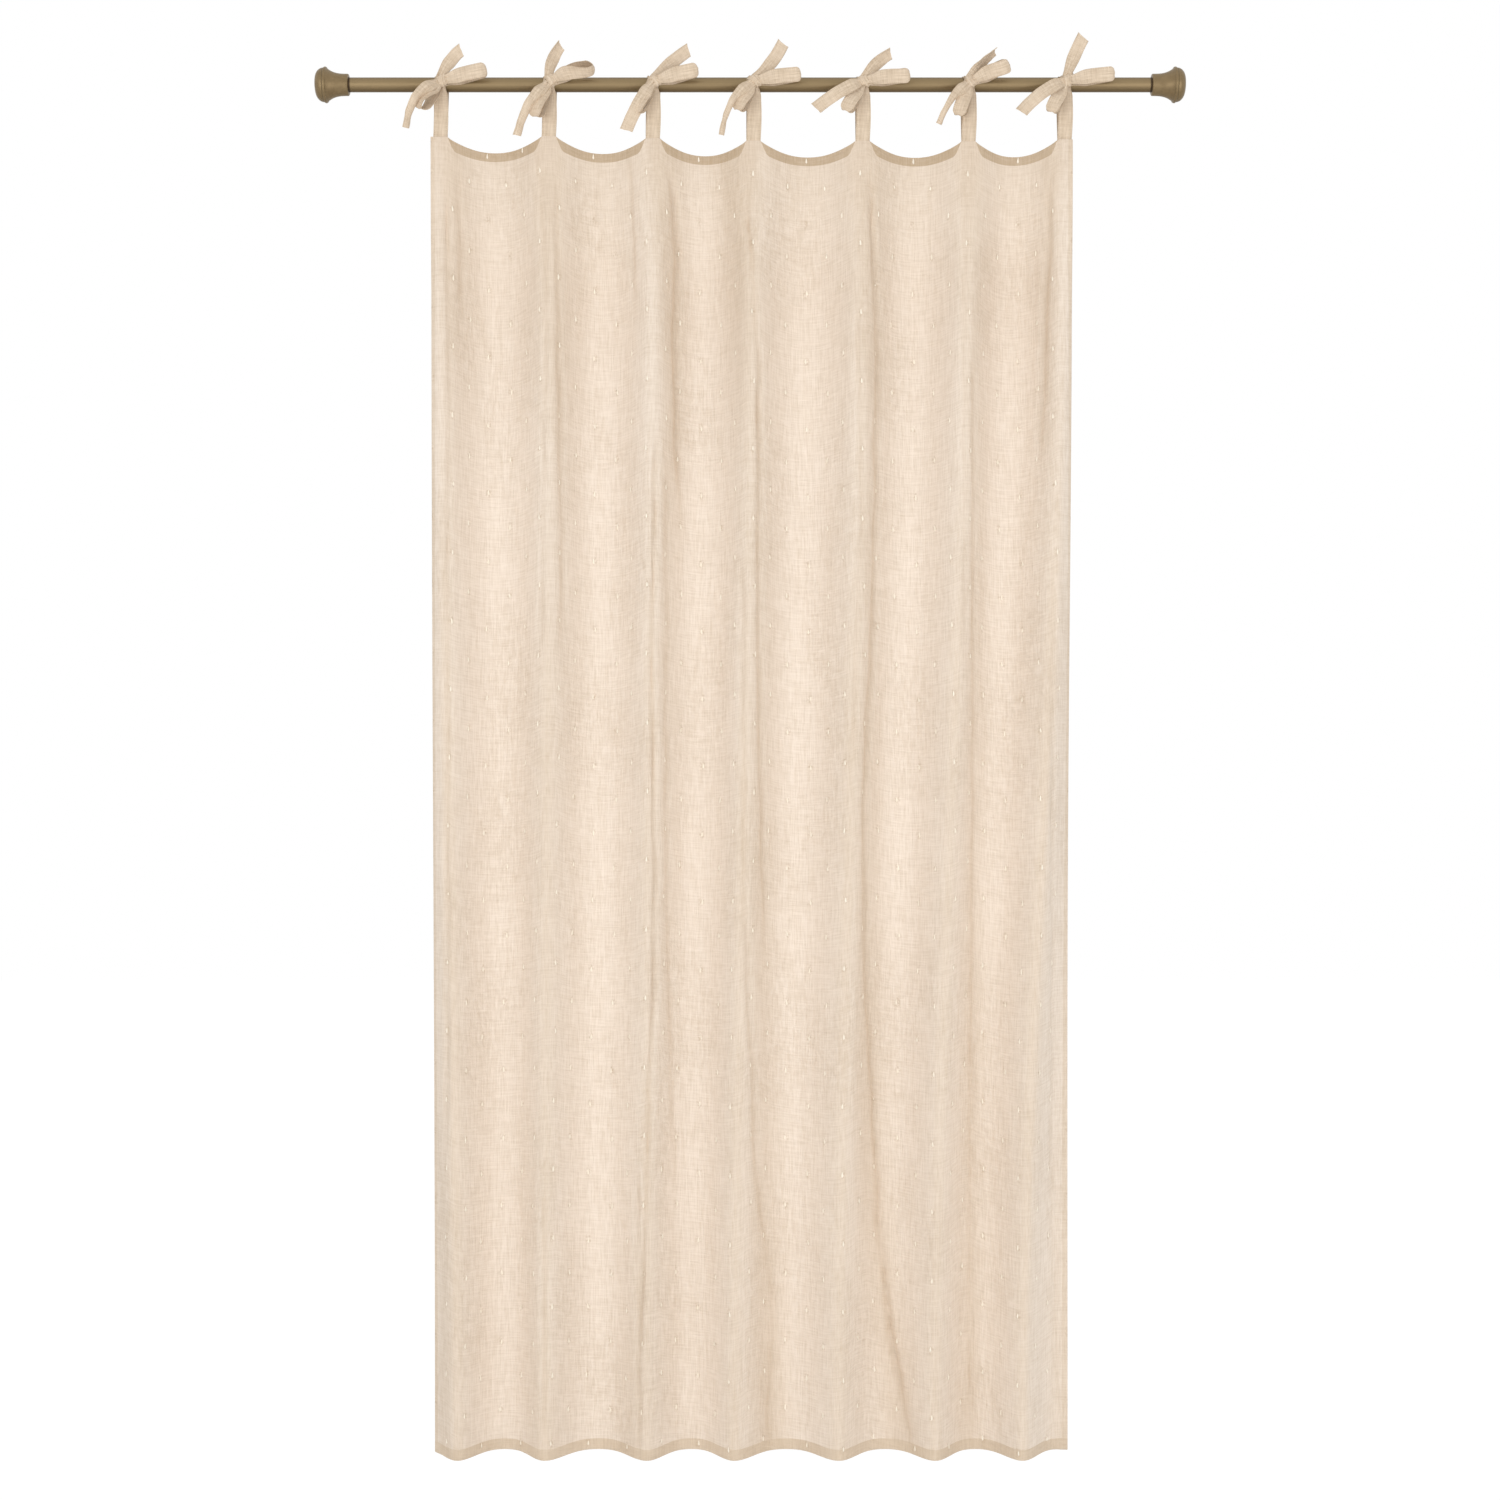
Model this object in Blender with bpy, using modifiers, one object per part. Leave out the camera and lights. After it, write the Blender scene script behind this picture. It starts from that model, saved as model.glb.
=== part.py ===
"""Tie top curtain, hung from its rod by seven pairs of straps tied in bows.

One curtain panel with turned side and bottom hems hangs in soft folds. A facing strip is sewn
behind its top edge, and two straps are caught between panel and facing at each tie. The front
strap rises in front of the rod, the back strap goes behind and over it, and the two are tied
in a bow on the front of the rod. The rod is a tube with a turned cap pushed on each end.

Metres, +Z up, +X along the rod, and the front of the curtain faces -Y. The origin is the middle
of the left cap's flat end face, on the rod's axis.
"""

import math
from collections import namedtuple

import bmesh
import bpy
from mathutils import Vector

# Rod and caps
rod_diameter = 0.0222
rod_wall = 0.0010
rod_length = 1.3010
rod_sides = 24
cap_length = 0.0510
cap_face_radius = 0.0116
cap_dome_radius = 0.0250
cap_dome_length = 0.0105
cap_groove_depth = 0.0012
cap_bead_radius = 0.0273
cap_bead_width = 0.0064
cap_shoulder_radius = 0.0228
cap_neck_radius = 0.0168
cap_neck_round = 0.0018
cap_socket_depth = 0.0320
cap_sides = 18
socket_clearance = 0.0003

# Cloth
cloth = 0.0008
layer_gap = 0.0003
layer = cloth + layer_gap

# Panel
panel_drop = 2.0370
side_hem = 0.0080
bottom_hem = 0.0160
hem_corner_run = 0.0140
left_margin = 0.0030
right_margin = 0.0006
fold_depth = 0.0600
fold_depth_top = 0.0220
fold_pinch = 0.15
fold_front = -0.0080
flat_run = 0.2600
top_sag = 0.0205
sag_roundness = 0.78
sag_run = 0.0800
hem_drift = (0.0262, -0.0067, -0.0092, -0.0300, -0.0363, -0.0509, -0.0648)
gap_columns = 8

# Facing
facing_height = 0.0150

# Straps
strap_width = 0.0220
tail_width = 0.0200
sewn_in = 0.0120
tie_rise = 0.0820
first_tie = 0.1928
last_tie = 0.1858
knot_width = 0.0130
knot_clearance = 0.0016
knot_height = -0.0020
knot_bend = 0.0078
bow_spread = 0.0250
# How the lower tail passes in front of the lower loop: the share of its length run, how far
# forward it is there in openings of that loop, and the share of its twist taken.
tail_over_loop = ((0.22, 2.2, 0.0), (0.5, 3.2, 0.25), (0.75, 2.0, 0.75), (1.0, 0.0, 1.0))

# A tail's length, its heading where it leaves the knot and where it ends, and its twist. A
# loop's length, heading, half its opening and its roll. Headings are degrees from +X, seen from
# the front. The spacing is to the tie on the left, in proportion to the others, and the drop is
# how much lower it is sewn.
Tail = namedtuple("Tail", "length leaves ends twist")
Loop = namedtuple("Loop", "length heading opening roll")
Bow = namedtuple("Bow", "spacing drop up right low down")

bows = (
    Bow(0, 0.000, Tail(0.048, 66, 32, 0), Loop(0.068, 10, 0.0050, 0),
        Loop(0.053, 240, 0.0045, -12), Tail(0.087, 213, 254, 62)),
    Bow(167, -0.001, Tail(0.046, 86, 42, 30), Loop(0.066, 15, 0.0085, 56),
        Loop(0.061, 255, 0.0045, -15), Tail(0.093, 232, 256, 50)),
    Bow(160, 0.002, Tail(0.065, 42, 32, 15), Loop(0.065, 12, 0.0060, -10),
        Loop(0.056, 248, 0.0030, 0), Tail(0.085, 240, 244, 5)),
    Bow(155, 0.006, Tail(0.065, 36, 64, 0), Loop(0.066, 5, 0.0060, 0),
        Loop(0.053, 246, 0.0040, -12), Tail(0.095, 219, 260, 74)),
    Bow(168, 0.006, Tail(0.052, 54, 24, 20), Loop(0.064, 4, 0.0060, 0),
        Loop(0.055, 244, 0.0040, -10), Tail(0.082, 208, 214, 0)),
    Bow(163, 0.007, Tail(0.050, 52, 38, 66), Loop(0.058, 20, 0.0070, 0),
        Loop(0.058, 256, 0.0035, -8), Tail(0.074, 218, 244, 56)),
    Bow(148, 0.004, Tail(0.063, 72, 60, 0), Loop(0.067, 5, 0.0050, 0),
        Loop(0.055, 248, 0.0035, 0), Tail(0.082, 206, 224, 0)),
)

rod_radius = rod_diameter / 2
hug_radius = rod_radius + layer_gap + cloth / 2
overall_length = rod_length + 2 * (cap_length - cap_socket_depth + socket_clearance)
reached = [sum(bow.spacing for bow in bows[: i + 1]) for i in range(len(bows))]
tie_row = overall_length - first_tie - last_tie
tie_x = [first_tie + tie_row * share / reached[-1] for share in reached]
panel_left = tie_x[0] - strap_width / 2 - left_margin
panel_right = tie_x[-1] + strap_width / 2 + right_margin


def ease(value):
    """A smooth step from 0 to 1 as value goes from 0 to 1."""
    value = min(max(value, 0.0), 1.0)
    return value * value * (3 - 2 * value)


def blend(start, end, share):
    return start + (end - start) * share


def material(name, colour, roughness, metallic=0.0):
    made = bpy.data.materials.new(name)
    made.use_nodes = True
    shader = made.node_tree.nodes["Principled BSDF"]
    shader.inputs["Base Color"].default_value = (*colour, 1)
    shader.inputs["Roughness"].default_value = roughness
    shader.inputs["Metallic"].default_value = metallic
    return made


def add_object(name, mesh, finish, smooth_angle=50):
    mesh.materials.append(finish)
    mesh.shade_smooth()
    mesh.set_sharp_from_angle(angle=math.radians(smooth_angle))
    made = bpy.data.objects.new(name, mesh)
    parts.objects.link(made)
    return made


def add_cloth(name, columns, rows, place, finish):
    """A grid of columns by rows points, laid where place(column, row) says, given the cloth's thickness."""
    grid = bmesh.new()
    bmesh.ops.create_grid(grid, x_segments=columns - 1, y_segments=rows - 1, size=0.5)
    for vert in grid.verts:
        column = round((vert.co.x + 0.5) * (columns - 1))
        row = round((vert.co.y + 0.5) * (rows - 1))
        vert.co = place(column, row)
    mesh = bpy.data.meshes.new(name)
    grid.to_mesh(mesh)
    grid.free()
    made = add_object(name, mesh, finish)
    wall = made.modifiers.new("Cloth", "SOLIDIFY")
    wall.thickness = cloth
    wall.offset = 0
    return made


# The hung cloth

def fold_centres(down):
    """Where the front folds stand at this distance down the panel, with one more beyond each end."""
    share = ease(down / panel_drop)
    centres = [x + drift * share for x, drift in zip(tie_x, hem_drift)]
    before = 2 * centres[0] - centres[1]
    after = 2 * centres[-1] - centres[-2]
    return [before, *centres, after]


def fold_flat(down):
    """Half the flat width at each front fold: the strap's width at the top edge, closing further down."""
    return strap_width / 2 * (1 - ease((down - facing_height) / flat_run))


def fold_depth_at(x, down):
    """How far back the cloth lies: forward at the ties, and back between them."""
    centres = fold_centres(down)
    flat = fold_flat(down)
    for left, right in zip(centres, centres[1:]):
        if x <= right or right == centres[-1]:
            break
    share = (x - left - flat) / (right - left - 2 * flat)
    turn = 2 * math.pi * min(max(share, 0.0), 1.0)
    wave = (1 - math.cos(turn) + fold_pinch * (1 - math.cos(2 * turn))) / 2
    depth = blend(fold_depth_top, fold_depth, ease(down / flat_run))
    return fold_front + depth * wave


def sag_at(x, down):
    """How far the cloth hangs below the line of the ties: in an arc between them, fading downwards."""
    drops = [bow.drop for bow in bows]
    at = max([i for i in range(len(tie_x) - 1) if tie_x[i] <= x], default=0)
    left = tie_x[at] + strap_width / 2
    right = tie_x[at + 1] - strap_width / 2
    share = min(max((x - left) / (right - left), 0.0), 1.0)
    line = blend(drops[at], drops[at + 1], share) * (1 - down / panel_drop)
    arc = top_sag * (4 * share * (1 - share)) ** sag_roundness * math.exp(-down / sag_run)
    return line + arc


def hung_point(x, down):
    return Vector((x, fold_depth_at(x, down), -tie_rise - down - sag_at(x, down)))


class Row:
    """One level of the hung cloth, read by the distance along its folds as a share of the whole."""

    samples = 1200

    def __init__(self, down):
        self.down = down
        step = (panel_right - panel_left) / self.samples
        self.x = [panel_left + step * i for i in range(self.samples + 1)]
        depth = [fold_depth_at(x, down) for x in self.x]
        self.run = [0.0]
        for i in range(self.samples):
            self.run.append(self.run[-1] + math.hypot(step, depth[i + 1] - depth[i]))
        self.length = self.run[-1]

    def x_at(self, along):
        low, high = 0, self.samples
        while high - low > 1:
            middle = (low + high) // 2
            if self.run[middle] > along:
                high = middle
            else:
                low = middle
        part = (along - self.run[low]) / (self.run[high] - self.run[low])
        return blend(self.x[low], self.x[high], part)

    def point(self, along, behind=0.0, sideways=0.0, lower=0.0):
        """The point at this distance along the cloth, moved behind it, along it or down."""
        x = self.x_at(min(max(along, 0.0), self.length))
        reach = 0.001
        depth = fold_depth_at(x + reach, self.down) - fold_depth_at(x - reach, self.down)
        tangent = Vector((2 * reach, depth, 0)).normalized()
        normal = Vector((-tangent.y, tangent.x, 0))
        down = Vector((0, 0, -lower))
        return hung_point(x, self.down) + normal * behind + tangent * sideways + down


def top_columns():
    """Distances along the top edge: the panel's ends, both edges of each strap, and even steps between straps."""
    top = Row(0.0)
    places = [panel_left]
    for i, x in enumerate(tie_x):
        left, right = x - strap_width / 2, x + strap_width / 2
        if i:
            before = tie_x[i - 1] + strap_width / 2
            places += [blend(before, left, (n + 1) / (gap_columns + 1)) for n in range(gap_columns)]
        places += [left, right]
    places.append(panel_right)
    runs = []
    for place in places:
        share = (place - panel_left) / (panel_right - panel_left) * top.samples
        low = min(int(share), top.samples - 1)
        runs.append(blend(top.run[low], top.run[low + 1], share - low))
    return top, runs


def add_panel(finish):
    """One cloth with its sides turned back, and then its bottom edge turned up over them."""
    top, runs = top_columns()
    turn = [math.radians(angle) for angle in (60, 120)]
    inner = side_hem + layer
    runs = [run for run in runs if not 0 < run < inner + hem_corner_run]
    runs = [run for run in runs if not 0 < top.length - run < inner + hem_corner_run]
    corner = [inner, inner + hem_corner_run]
    runs = sorted(runs + corner + [top.length - run for run in corner])

    columns = [(side_hem, layer, 0.0), (0.0, layer, 0.0)]
    columns += [
        (0.0, layer / 2 * (1 - math.cos(angle)), -layer / 2 * math.sin(angle))
        for angle in reversed(turn)
    ]
    columns += [(run, 0.0, 0.0) for run in runs]
    columns += [
        (top.length, layer / 2 * (1 - math.cos(angle)), layer / 2 * math.sin(angle))
        for angle in turn
    ]
    columns += [(top.length, layer, 0.0), (top.length - side_hem, layer, 0.0)]

    downs = [0.0, facing_height, 0.070, 0.150, 0.300, 0.550, 0.850, 1.150, 1.450, 1.750]
    downs += [panel_drop - bottom_hem, panel_drop]
    rows = [(down, 0.0) for down in downs]
    rows += [(panel_drop, angle) for angle in turn]
    rows += [(panel_drop, math.pi), (panel_drop - bottom_hem, math.pi)]
    levels = {down: Row(down) for down in downs}

    def place(column, row):
        along, behind, sideways = columns[column]
        down, angle = rows[row]
        level = levels[down]
        edge = min(along, top.length - along)
        corner_share = 1 - ease((edge - side_hem) / hem_corner_run)
        turned = layer * (1 + 2 * corner_share)
        radius = turned / 2 - behind
        back = turned / 2 - radius * math.cos(angle)
        scaled = along / top.length * level.length
        return level.point(scaled, back, sideways, radius * math.sin(angle))

    made = add_cloth("curtain_panel", len(columns), len(rows), place, finish)
    return made


def strap_layers(index):
    """How many layers of cloth lie in front of this tie's front strap: two where it crosses a side hem."""
    return 2 if index in (0, len(bows) - 1) else 1


def add_facing(finish):
    """The strip behind the top edge. It stands off by the straps at each tie, and lies on the panel between."""
    top, runs = top_columns()
    levels = [top, Row(facing_height)]
    offsets = []
    for run in runs:
        x = top.x_at(run)
        near = min(range(len(tie_x)), key=lambda i: abs(tie_x[i] - x))
        away = abs(tie_x[near] - x) - strap_width / 2
        straps = strap_layers(near) + 2
        outside = x < tie_x[0] or x > tie_x[-1]
        offsets.append(straps if outside or away < layer else 1)

    def place(column, row):
        level = levels[row]
        along = runs[column] / top.length * level.length
        return level.point(along, offsets[column] * layer)

    return add_cloth("top_facing", len(runs), 2, place, finish)


# The straps

class Strap:
    """A flat strap laid out as a path: each station holds its middle, its width's direction and its width."""

    def __init__(self, position, heading, width):
        self.position = Vector(position)
        self.heading = heading
        self.width = width
        self.twist = 0.0
        self.side = 1
        self.stations = []
        self.mark()

    def across(self, heading):
        angle = math.radians(heading)
        return Vector((-math.sin(angle), 0, math.cos(angle))) * self.side

    def mark(self, across=None):
        if across is None:
            twist = math.radians(self.twist)
            flat = self.across(self.heading)
            across = flat * math.cos(twist) + Vector((0, -1, 0)) * math.sin(twist)
        self.stations.append((self.position.copy(), across, self.width))

    def straight_to(self, position, width=None, steps=1):
        start, first = self.position.copy(), self.width
        for i in range(1, steps + 1):
            share = i / steps
            self.position = start.lerp(Vector(position), share)
            if width is not None:
                self.width = blend(first, width, ease(share))
            self.mark()

    def go(self, length, heading, depth, width, twist=0.0, steps=4):
        """Runs on for this length, turning evenly to the heading and easing to the depth, width and twist."""
        start = (self.heading, self.position.y, self.width, self.twist)
        for i in range(1, steps + 1):
            share = i / steps
            middle = math.radians(blend(start[0], heading, (i - 0.5) / steps))
            step = length / steps
            self.position.x += step * math.cos(middle)
            self.position.z += step * math.sin(middle)
            self.position.y = blend(start[1], depth, ease(share))
            self.heading = blend(start[0], heading, share)
            self.width = blend(start[2], width, ease(share))
            self.twist = blend(start[3], twist, ease(share))
            self.mark()

    def over_rod(self, start_angle, end_angle, shift, width, steps=7):
        """Wraps over the rod from behind, moving sideways by shift and closing to width."""
        left, first = self.position.x, self.width
        for i in range(steps + 1):
            share = i / steps
            angle = math.radians(blend(start_angle, end_angle, share))
            self.position.x = left + shift * ease(share)
            self.position.y = hug_radius * math.cos(angle)
            self.position.z = hug_radius * math.sin(angle)
            self.width = blend(first, width, ease(share))
            self.mark()
        self.side = -self.side
        self.heading = 270

    def loop(self, loop, end, full_width, steps=12):
        """Goes out along the loop's heading and comes back in front of itself to the end point."""
        start, narrow = self.position.copy(), self.width
        flat = self.across(loop.heading)
        angle = math.radians(loop.heading)
        out = Vector((math.cos(angle), 0, math.sin(angle)))
        lean = 1.54 * loop.opening
        for i in range(1, steps + 1):
            turn = math.pi * (2 * i / steps - 0.5)
            reach = (1 + math.sin(turn)) / 2
            spread = loop.opening * math.cos(turn) * (1 + math.sin(turn)) / 1.3
            roll = math.radians(loop.roll) * ease(1.3 * (reach - 0.1))
            back = Vector((0, 1, 0)) * math.cos(roll) + flat * math.sin(roll)
            across = flat * math.cos(roll) - Vector((0, 1, 0)) * math.sin(roll)
            base = start.lerp(Vector(end), ease(i / steps))
            base.y -= full_width / 2 * abs(math.sin(roll))
            self.position = base + out * loop.length * reach + back * (spread - lean * reach)
            self.width = blend(narrow, full_width, ease(reach * loop.length / bow_spread))
            self.mark(across)
        self.side = -self.side
        self.heading = (loop.heading + 180) % 360


def knot_depth(place):
    """The depth of a layer of the knot, where 1 lies on the rod and each next one lies in front."""
    return -hug_radius - (place - 1) * (cloth + knot_clearance)


def front_strap(index, bow):
    """Up in front of the rod, round the right loop, back across the knot and out as the lower tail."""
    x, sewn = tie_x[index], fold_front + strap_layers(index) * layer
    seam = -tie_rise - bow.drop
    strap = Strap((x, sewn, seam - sewn_in), 90, strap_width)
    strap.straight_to((x, sewn, seam + layer))
    turn_from = knot_height - knot_bend
    strap.straight_to((x, blend(sewn, knot_depth(1), 0.8), blend(seam, turn_from, 0.8)))
    strap.straight_to((x, knot_depth(1), turn_from), knot_width, steps=2)
    turned = math.radians(90 - bow.right.heading)
    strap.go(knot_bend * turned, bow.right.heading, knot_depth(1), knot_width, steps=3)
    strap.loop(bow.right, (x + knot_bend / 2, knot_depth(4), knot_height), strap_width)
    strap.go(knot_bend, bow.down.leaves, knot_depth(4), knot_width, steps=1)
    tail, passed = bow.down, 0.0
    for share, ahead, twisted in tail_over_loop:
        strap.go(
            tail.length * (share - passed),
            blend(tail.leaves, tail.ends, share),
            knot_depth(4) - ahead * bow.low.opening,
            tail_width,
            tail.twist * twisted,
            steps=2,
        )
        passed = share
    return strap


def back_strap(index, bow):
    """Up behind the rod and over it, round the lower loop, back through the knot and out as the upper tail."""
    x, sewn = tie_x[index], fold_front + (strap_layers(index) + 1) * layer
    seam = -tie_rise - bow.drop
    strap = Strap((x, sewn, seam - sewn_in), 90, strap_width)
    strap.straight_to((x, sewn, seam + layer))
    reach = math.hypot(sewn, seam + layer)
    meets = math.degrees(math.atan2(seam + layer, sewn) + math.acos(hug_radius / reach))
    strap.over_rod(meets, 140, -knot_width / 2, 1.4 * knot_width)
    knot = (x - knot_width / 5, knot_depth(2), knot_height + knot_bend)
    strap.straight_to(knot, knot_width)
    strap.go(knot_bend, bow.low.heading, knot_depth(2), knot_width, steps=2)
    strap.loop(bow.low, (x - knot_width / 5, knot_depth(3), knot_height), strap_width)
    strap.go(knot_bend, bow.up.leaves, knot_depth(3), knot_width, steps=2)
    half = bow.up.length / 2
    middle = blend(bow.up.leaves, bow.up.ends, 0.5)
    strap.go(half, middle, knot_depth(3), tail_width, 0.15 * bow.up.twist, steps=3)
    strap.go(half, bow.up.ends, knot_depth(5), tail_width, bow.up.twist, steps=3)
    return strap


def add_strap(name, strap, finish):
    def place(column, row):
        middle, across, width = strap.stations[row]
        return middle + across * width * (column / 2 - 0.5)

    return add_cloth(name, 3, len(strap.stations), place, finish)


# The rod and its caps

def add_rod(finish):
    """A plain drawn tube, open at both ends, with its ends in the caps' sockets."""
    start = (overall_length - rod_length) / 2
    inner = rod_radius - rod_wall
    profile = [
        (rod_radius, start),
        (inner, start),
        (inner, start + rod_length),
        (rod_radius, start + rod_length),
    ]
    return add_turned("rod_tube", profile, True, rod_sides, finish)


def arc(centre, radii, start, end, steps):
    """Points on a part of an ellipse, as (radius, distance along the axis)."""
    points = []
    for i in range(steps + 1):
        angle = math.radians(blend(start, end, i / steps))
        points.append((centre[0] + radii[0] * math.cos(angle), centre[1] + radii[1] * math.sin(angle)))
    return points


def cap_profile():
    """From the middle of the flat end face, over the dome, bead and neck, and into the socket."""
    bead = cap_bead_width / 2
    bead_at = cap_dome_length + bead
    dome = arc(
        (cap_face_radius, cap_dome_length),
        (cap_dome_radius - cap_face_radius, cap_dome_length),
        -90, 0, 4,
    )
    ring = arc((cap_bead_radius - bead, bead_at), (bead, bead), -60, 60, 3)
    shoulder_at = bead_at + bead
    neck_at = cap_length - cap_neck_round
    cove = arc(
        (cap_shoulder_radius, neck_at),
        (cap_shoulder_radius - cap_neck_radius, neck_at - shoulder_at),
        270, 180, 4,
    )
    groove = [(cap_dome_radius - cap_groove_depth, cap_dome_length + cap_groove_depth / 2)]
    socket = rod_radius + socket_clearance
    mouth = [
        (cap_neck_radius - cap_neck_round, cap_length),
        (socket, cap_length),
        (socket, cap_length - cap_socket_depth),
        (0.0, cap_length - cap_socket_depth),
    ]
    return [(0.0, 0.0)] + dome + groove + ring + cove + mouth


def add_turned(name, profile, closed, sides, finish):
    """A profile of (radius, distance along the rod) turned about the rod's axis."""
    outline = bmesh.new()
    verts = [outline.verts.new((radius, 0, along)) for radius, along in profile]
    for first, second in zip(verts, verts[1:]):
        outline.edges.new((first, second))
    if closed:
        outline.edges.new((verts[-1], verts[0]))
    mesh = bpy.data.meshes.new(name)
    outline.to_mesh(mesh)
    outline.free()
    made = add_object(name, mesh, finish)
    turned = made.modifiers.new("Turn", "SCREW")
    turned.axis = "Z"
    turned.steps = sides
    turned.render_steps = sides
    turned.use_merge_vertices = True
    turned.merge_threshold = 0.00001
    turned.use_smooth_shade = True
    made.rotation_euler = (0, math.radians(90), 0)
    return made


def add_cap(name, finish, at_right):
    made = add_turned(name, cap_profile()[::-1], False, cap_sides, finish)
    if at_right:
        made.location.x = overall_length
        made.rotation_euler = (0, math.radians(-90), 0)
    return made


for old in list(bpy.data.objects):
    bpy.data.objects.remove(old)
parts = bpy.data.collections.new("tie_top_curtain")
bpy.context.scene.collection.children.link(parts)

panel_cloth = material("Sheer woven cloth", (0.80, 0.68, 0.55), 0.9)
facing_cloth = material("Facing cloth", (0.72, 0.59, 0.46), 0.9)
strap_cloth = material("Strap cloth", (0.66, 0.53, 0.39), 0.9)
rod_metal = material("Antique gold rod", (0.37, 0.27, 0.15), 0.35, 0.8)
cap_metal = material("Antique gold cap", (0.37, 0.27, 0.15), 0.35, 0.8)

add_rod(rod_metal)
add_cap("left_end_cap", cap_metal, False)
add_cap("right_end_cap", cap_metal, True)
add_panel(panel_cloth)
add_facing(facing_cloth)
for number, bow in enumerate(bows):
    add_strap(f"tie_{number + 1}_front_strap", front_strap(number, bow), strap_cloth)
    add_strap(f"tie_{number + 1}_back_strap", back_strap(number, bow), strap_cloth)
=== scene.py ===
from collections import namedtuple
from math import acos, atan2, cos, degrees, exp, hypot, pi, radians, sin, sqrt

import bpy
import numpy as np
from mathutils import Matrix, Vector, noise


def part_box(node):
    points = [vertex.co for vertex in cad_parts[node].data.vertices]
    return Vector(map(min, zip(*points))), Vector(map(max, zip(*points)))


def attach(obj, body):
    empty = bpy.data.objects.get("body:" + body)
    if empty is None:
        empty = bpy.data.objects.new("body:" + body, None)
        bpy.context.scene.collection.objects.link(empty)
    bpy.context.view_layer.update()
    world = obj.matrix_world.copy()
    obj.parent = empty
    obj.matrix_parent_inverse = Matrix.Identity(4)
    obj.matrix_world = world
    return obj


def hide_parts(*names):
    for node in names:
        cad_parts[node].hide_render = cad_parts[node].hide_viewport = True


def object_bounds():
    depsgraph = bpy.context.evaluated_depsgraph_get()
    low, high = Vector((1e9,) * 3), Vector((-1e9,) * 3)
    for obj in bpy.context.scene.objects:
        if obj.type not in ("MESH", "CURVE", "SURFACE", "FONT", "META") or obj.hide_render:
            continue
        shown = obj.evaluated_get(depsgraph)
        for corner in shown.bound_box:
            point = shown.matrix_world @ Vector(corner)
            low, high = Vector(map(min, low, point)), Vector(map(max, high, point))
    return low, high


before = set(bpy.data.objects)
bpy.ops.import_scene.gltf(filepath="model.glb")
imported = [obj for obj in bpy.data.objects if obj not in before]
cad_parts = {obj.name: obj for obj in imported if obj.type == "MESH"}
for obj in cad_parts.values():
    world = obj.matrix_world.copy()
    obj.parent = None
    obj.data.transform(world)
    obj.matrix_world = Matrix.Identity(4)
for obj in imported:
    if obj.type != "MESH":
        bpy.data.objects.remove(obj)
cad_low, cad_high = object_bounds()


# The room: a white floor and a white world, with a broad soft lamp on each side of the camera and a
# faint one above. The camera stands level with the middle of the panel, square to it. None of this
# belongs to the curtain.
floor_height = cad_low.z - 0.16
floor_side = 14.0
floor_middle = (0.67, 2.0, floor_height)
floor_white = 0.90
floor_glow = 0.78
floor_glow_strength = 1.12
world_glow = 0.73
camera_place = (0.6695, -3.55, -1.0258)
camera_lens = 55.24
camera_sensor = 36
panel_middle = Vector((0.67, 0.0, -1.0))
lamps = (
    ("key_lamp", (-1.8, -3.7, -0.8), 2.8, 51.0),
    ("fill_lamp", (3.0, -3.5, -1.3), 2.8, 54.0),
    ("top_lamp", (0.7, -0.9, 1.9), 2.0, 2.0),
)


def tone(red, green, blue):
    """A colour given as it is read from a picture, 0 to 255, in the renderer's own values."""
    linear = []
    for value in (red, green, blue):
        value /= 255
        linear.append(value / 12.92 if value <= 0.04045 else ((value + 0.055) / 1.055) ** 2.4)
    return (*linear, 1)


class Signal:
    """A number that varies over a surface. Arithmetic on it adds the Math nodes."""

    def __init__(self, nodes, socket):
        self.nodes, self.socket = nodes, socket

    def maths(self, operation, *others):
        made = self.nodes.node(
            "ShaderNodeMath", {"operation": operation}, dict(enumerate((self, *others)))
        )
        return Signal(self.nodes, made.outputs[0])

    def __add__(self, other):
        return self.maths("ADD", other)

    def __mul__(self, other):
        return self.maths("MULTIPLY", other)

    def __sub__(self, other):
        return self.maths("SUBTRACT", other)

    def __rsub__(self, other):
        return self.maths("MULTIPLY_ADD", -1.0, other)

    def __abs__(self):
        return self.maths("ABSOLUTE")

    __radd__, __rmul__ = __add__, __mul__

    def between(self, low, high):
        """0 below low and 1 above high, rising smoothly."""
        sockets = {"Value": self, "From Min": low, "From Max": high}
        smooth = {"interpolation_type": "SMOOTHSTEP"}
        made = self.nodes.node("ShaderNodeMapRange", smooth, sockets)
        return Signal(self.nodes, made.outputs["Result"])


class Nodes:
    """The nodes of a material or of the world. What it makes up is in made."""

    def __init__(self, made):
        self.made = made
        made.use_nodes = True
        self.tree = made.node_tree

    def node(self, kind, settings=None, sockets=None):
        made = self.tree.nodes.new(kind)
        for setting, value in (settings or {}).items():
            setattr(made, setting, value)
        for socket, value in (sockets or {}).items():
            self.feed(made.inputs[socket], value)
        return made

    def feed(self, socket, value):
        if isinstance(value, Signal):
            value = value.socket
        if isinstance(value, bpy.types.NodeSocket):
            self.tree.links.new(value, socket)
        else:
            socket.default_value = value

    def signal(self, socket):
        return Signal(self, socket)

    def show(self, share, first, second, output):
        """Sends to the output the first shader, passing into the second as share goes to 1."""
        sockets = {0: share, 1: first.outputs[0], 2: second.outputs[0]}
        mixed = self.node("ShaderNodeMixShader", sockets=sockets)
        self.feed(self.tree.nodes[output].inputs["Surface"], mixed.outputs[0])


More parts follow.
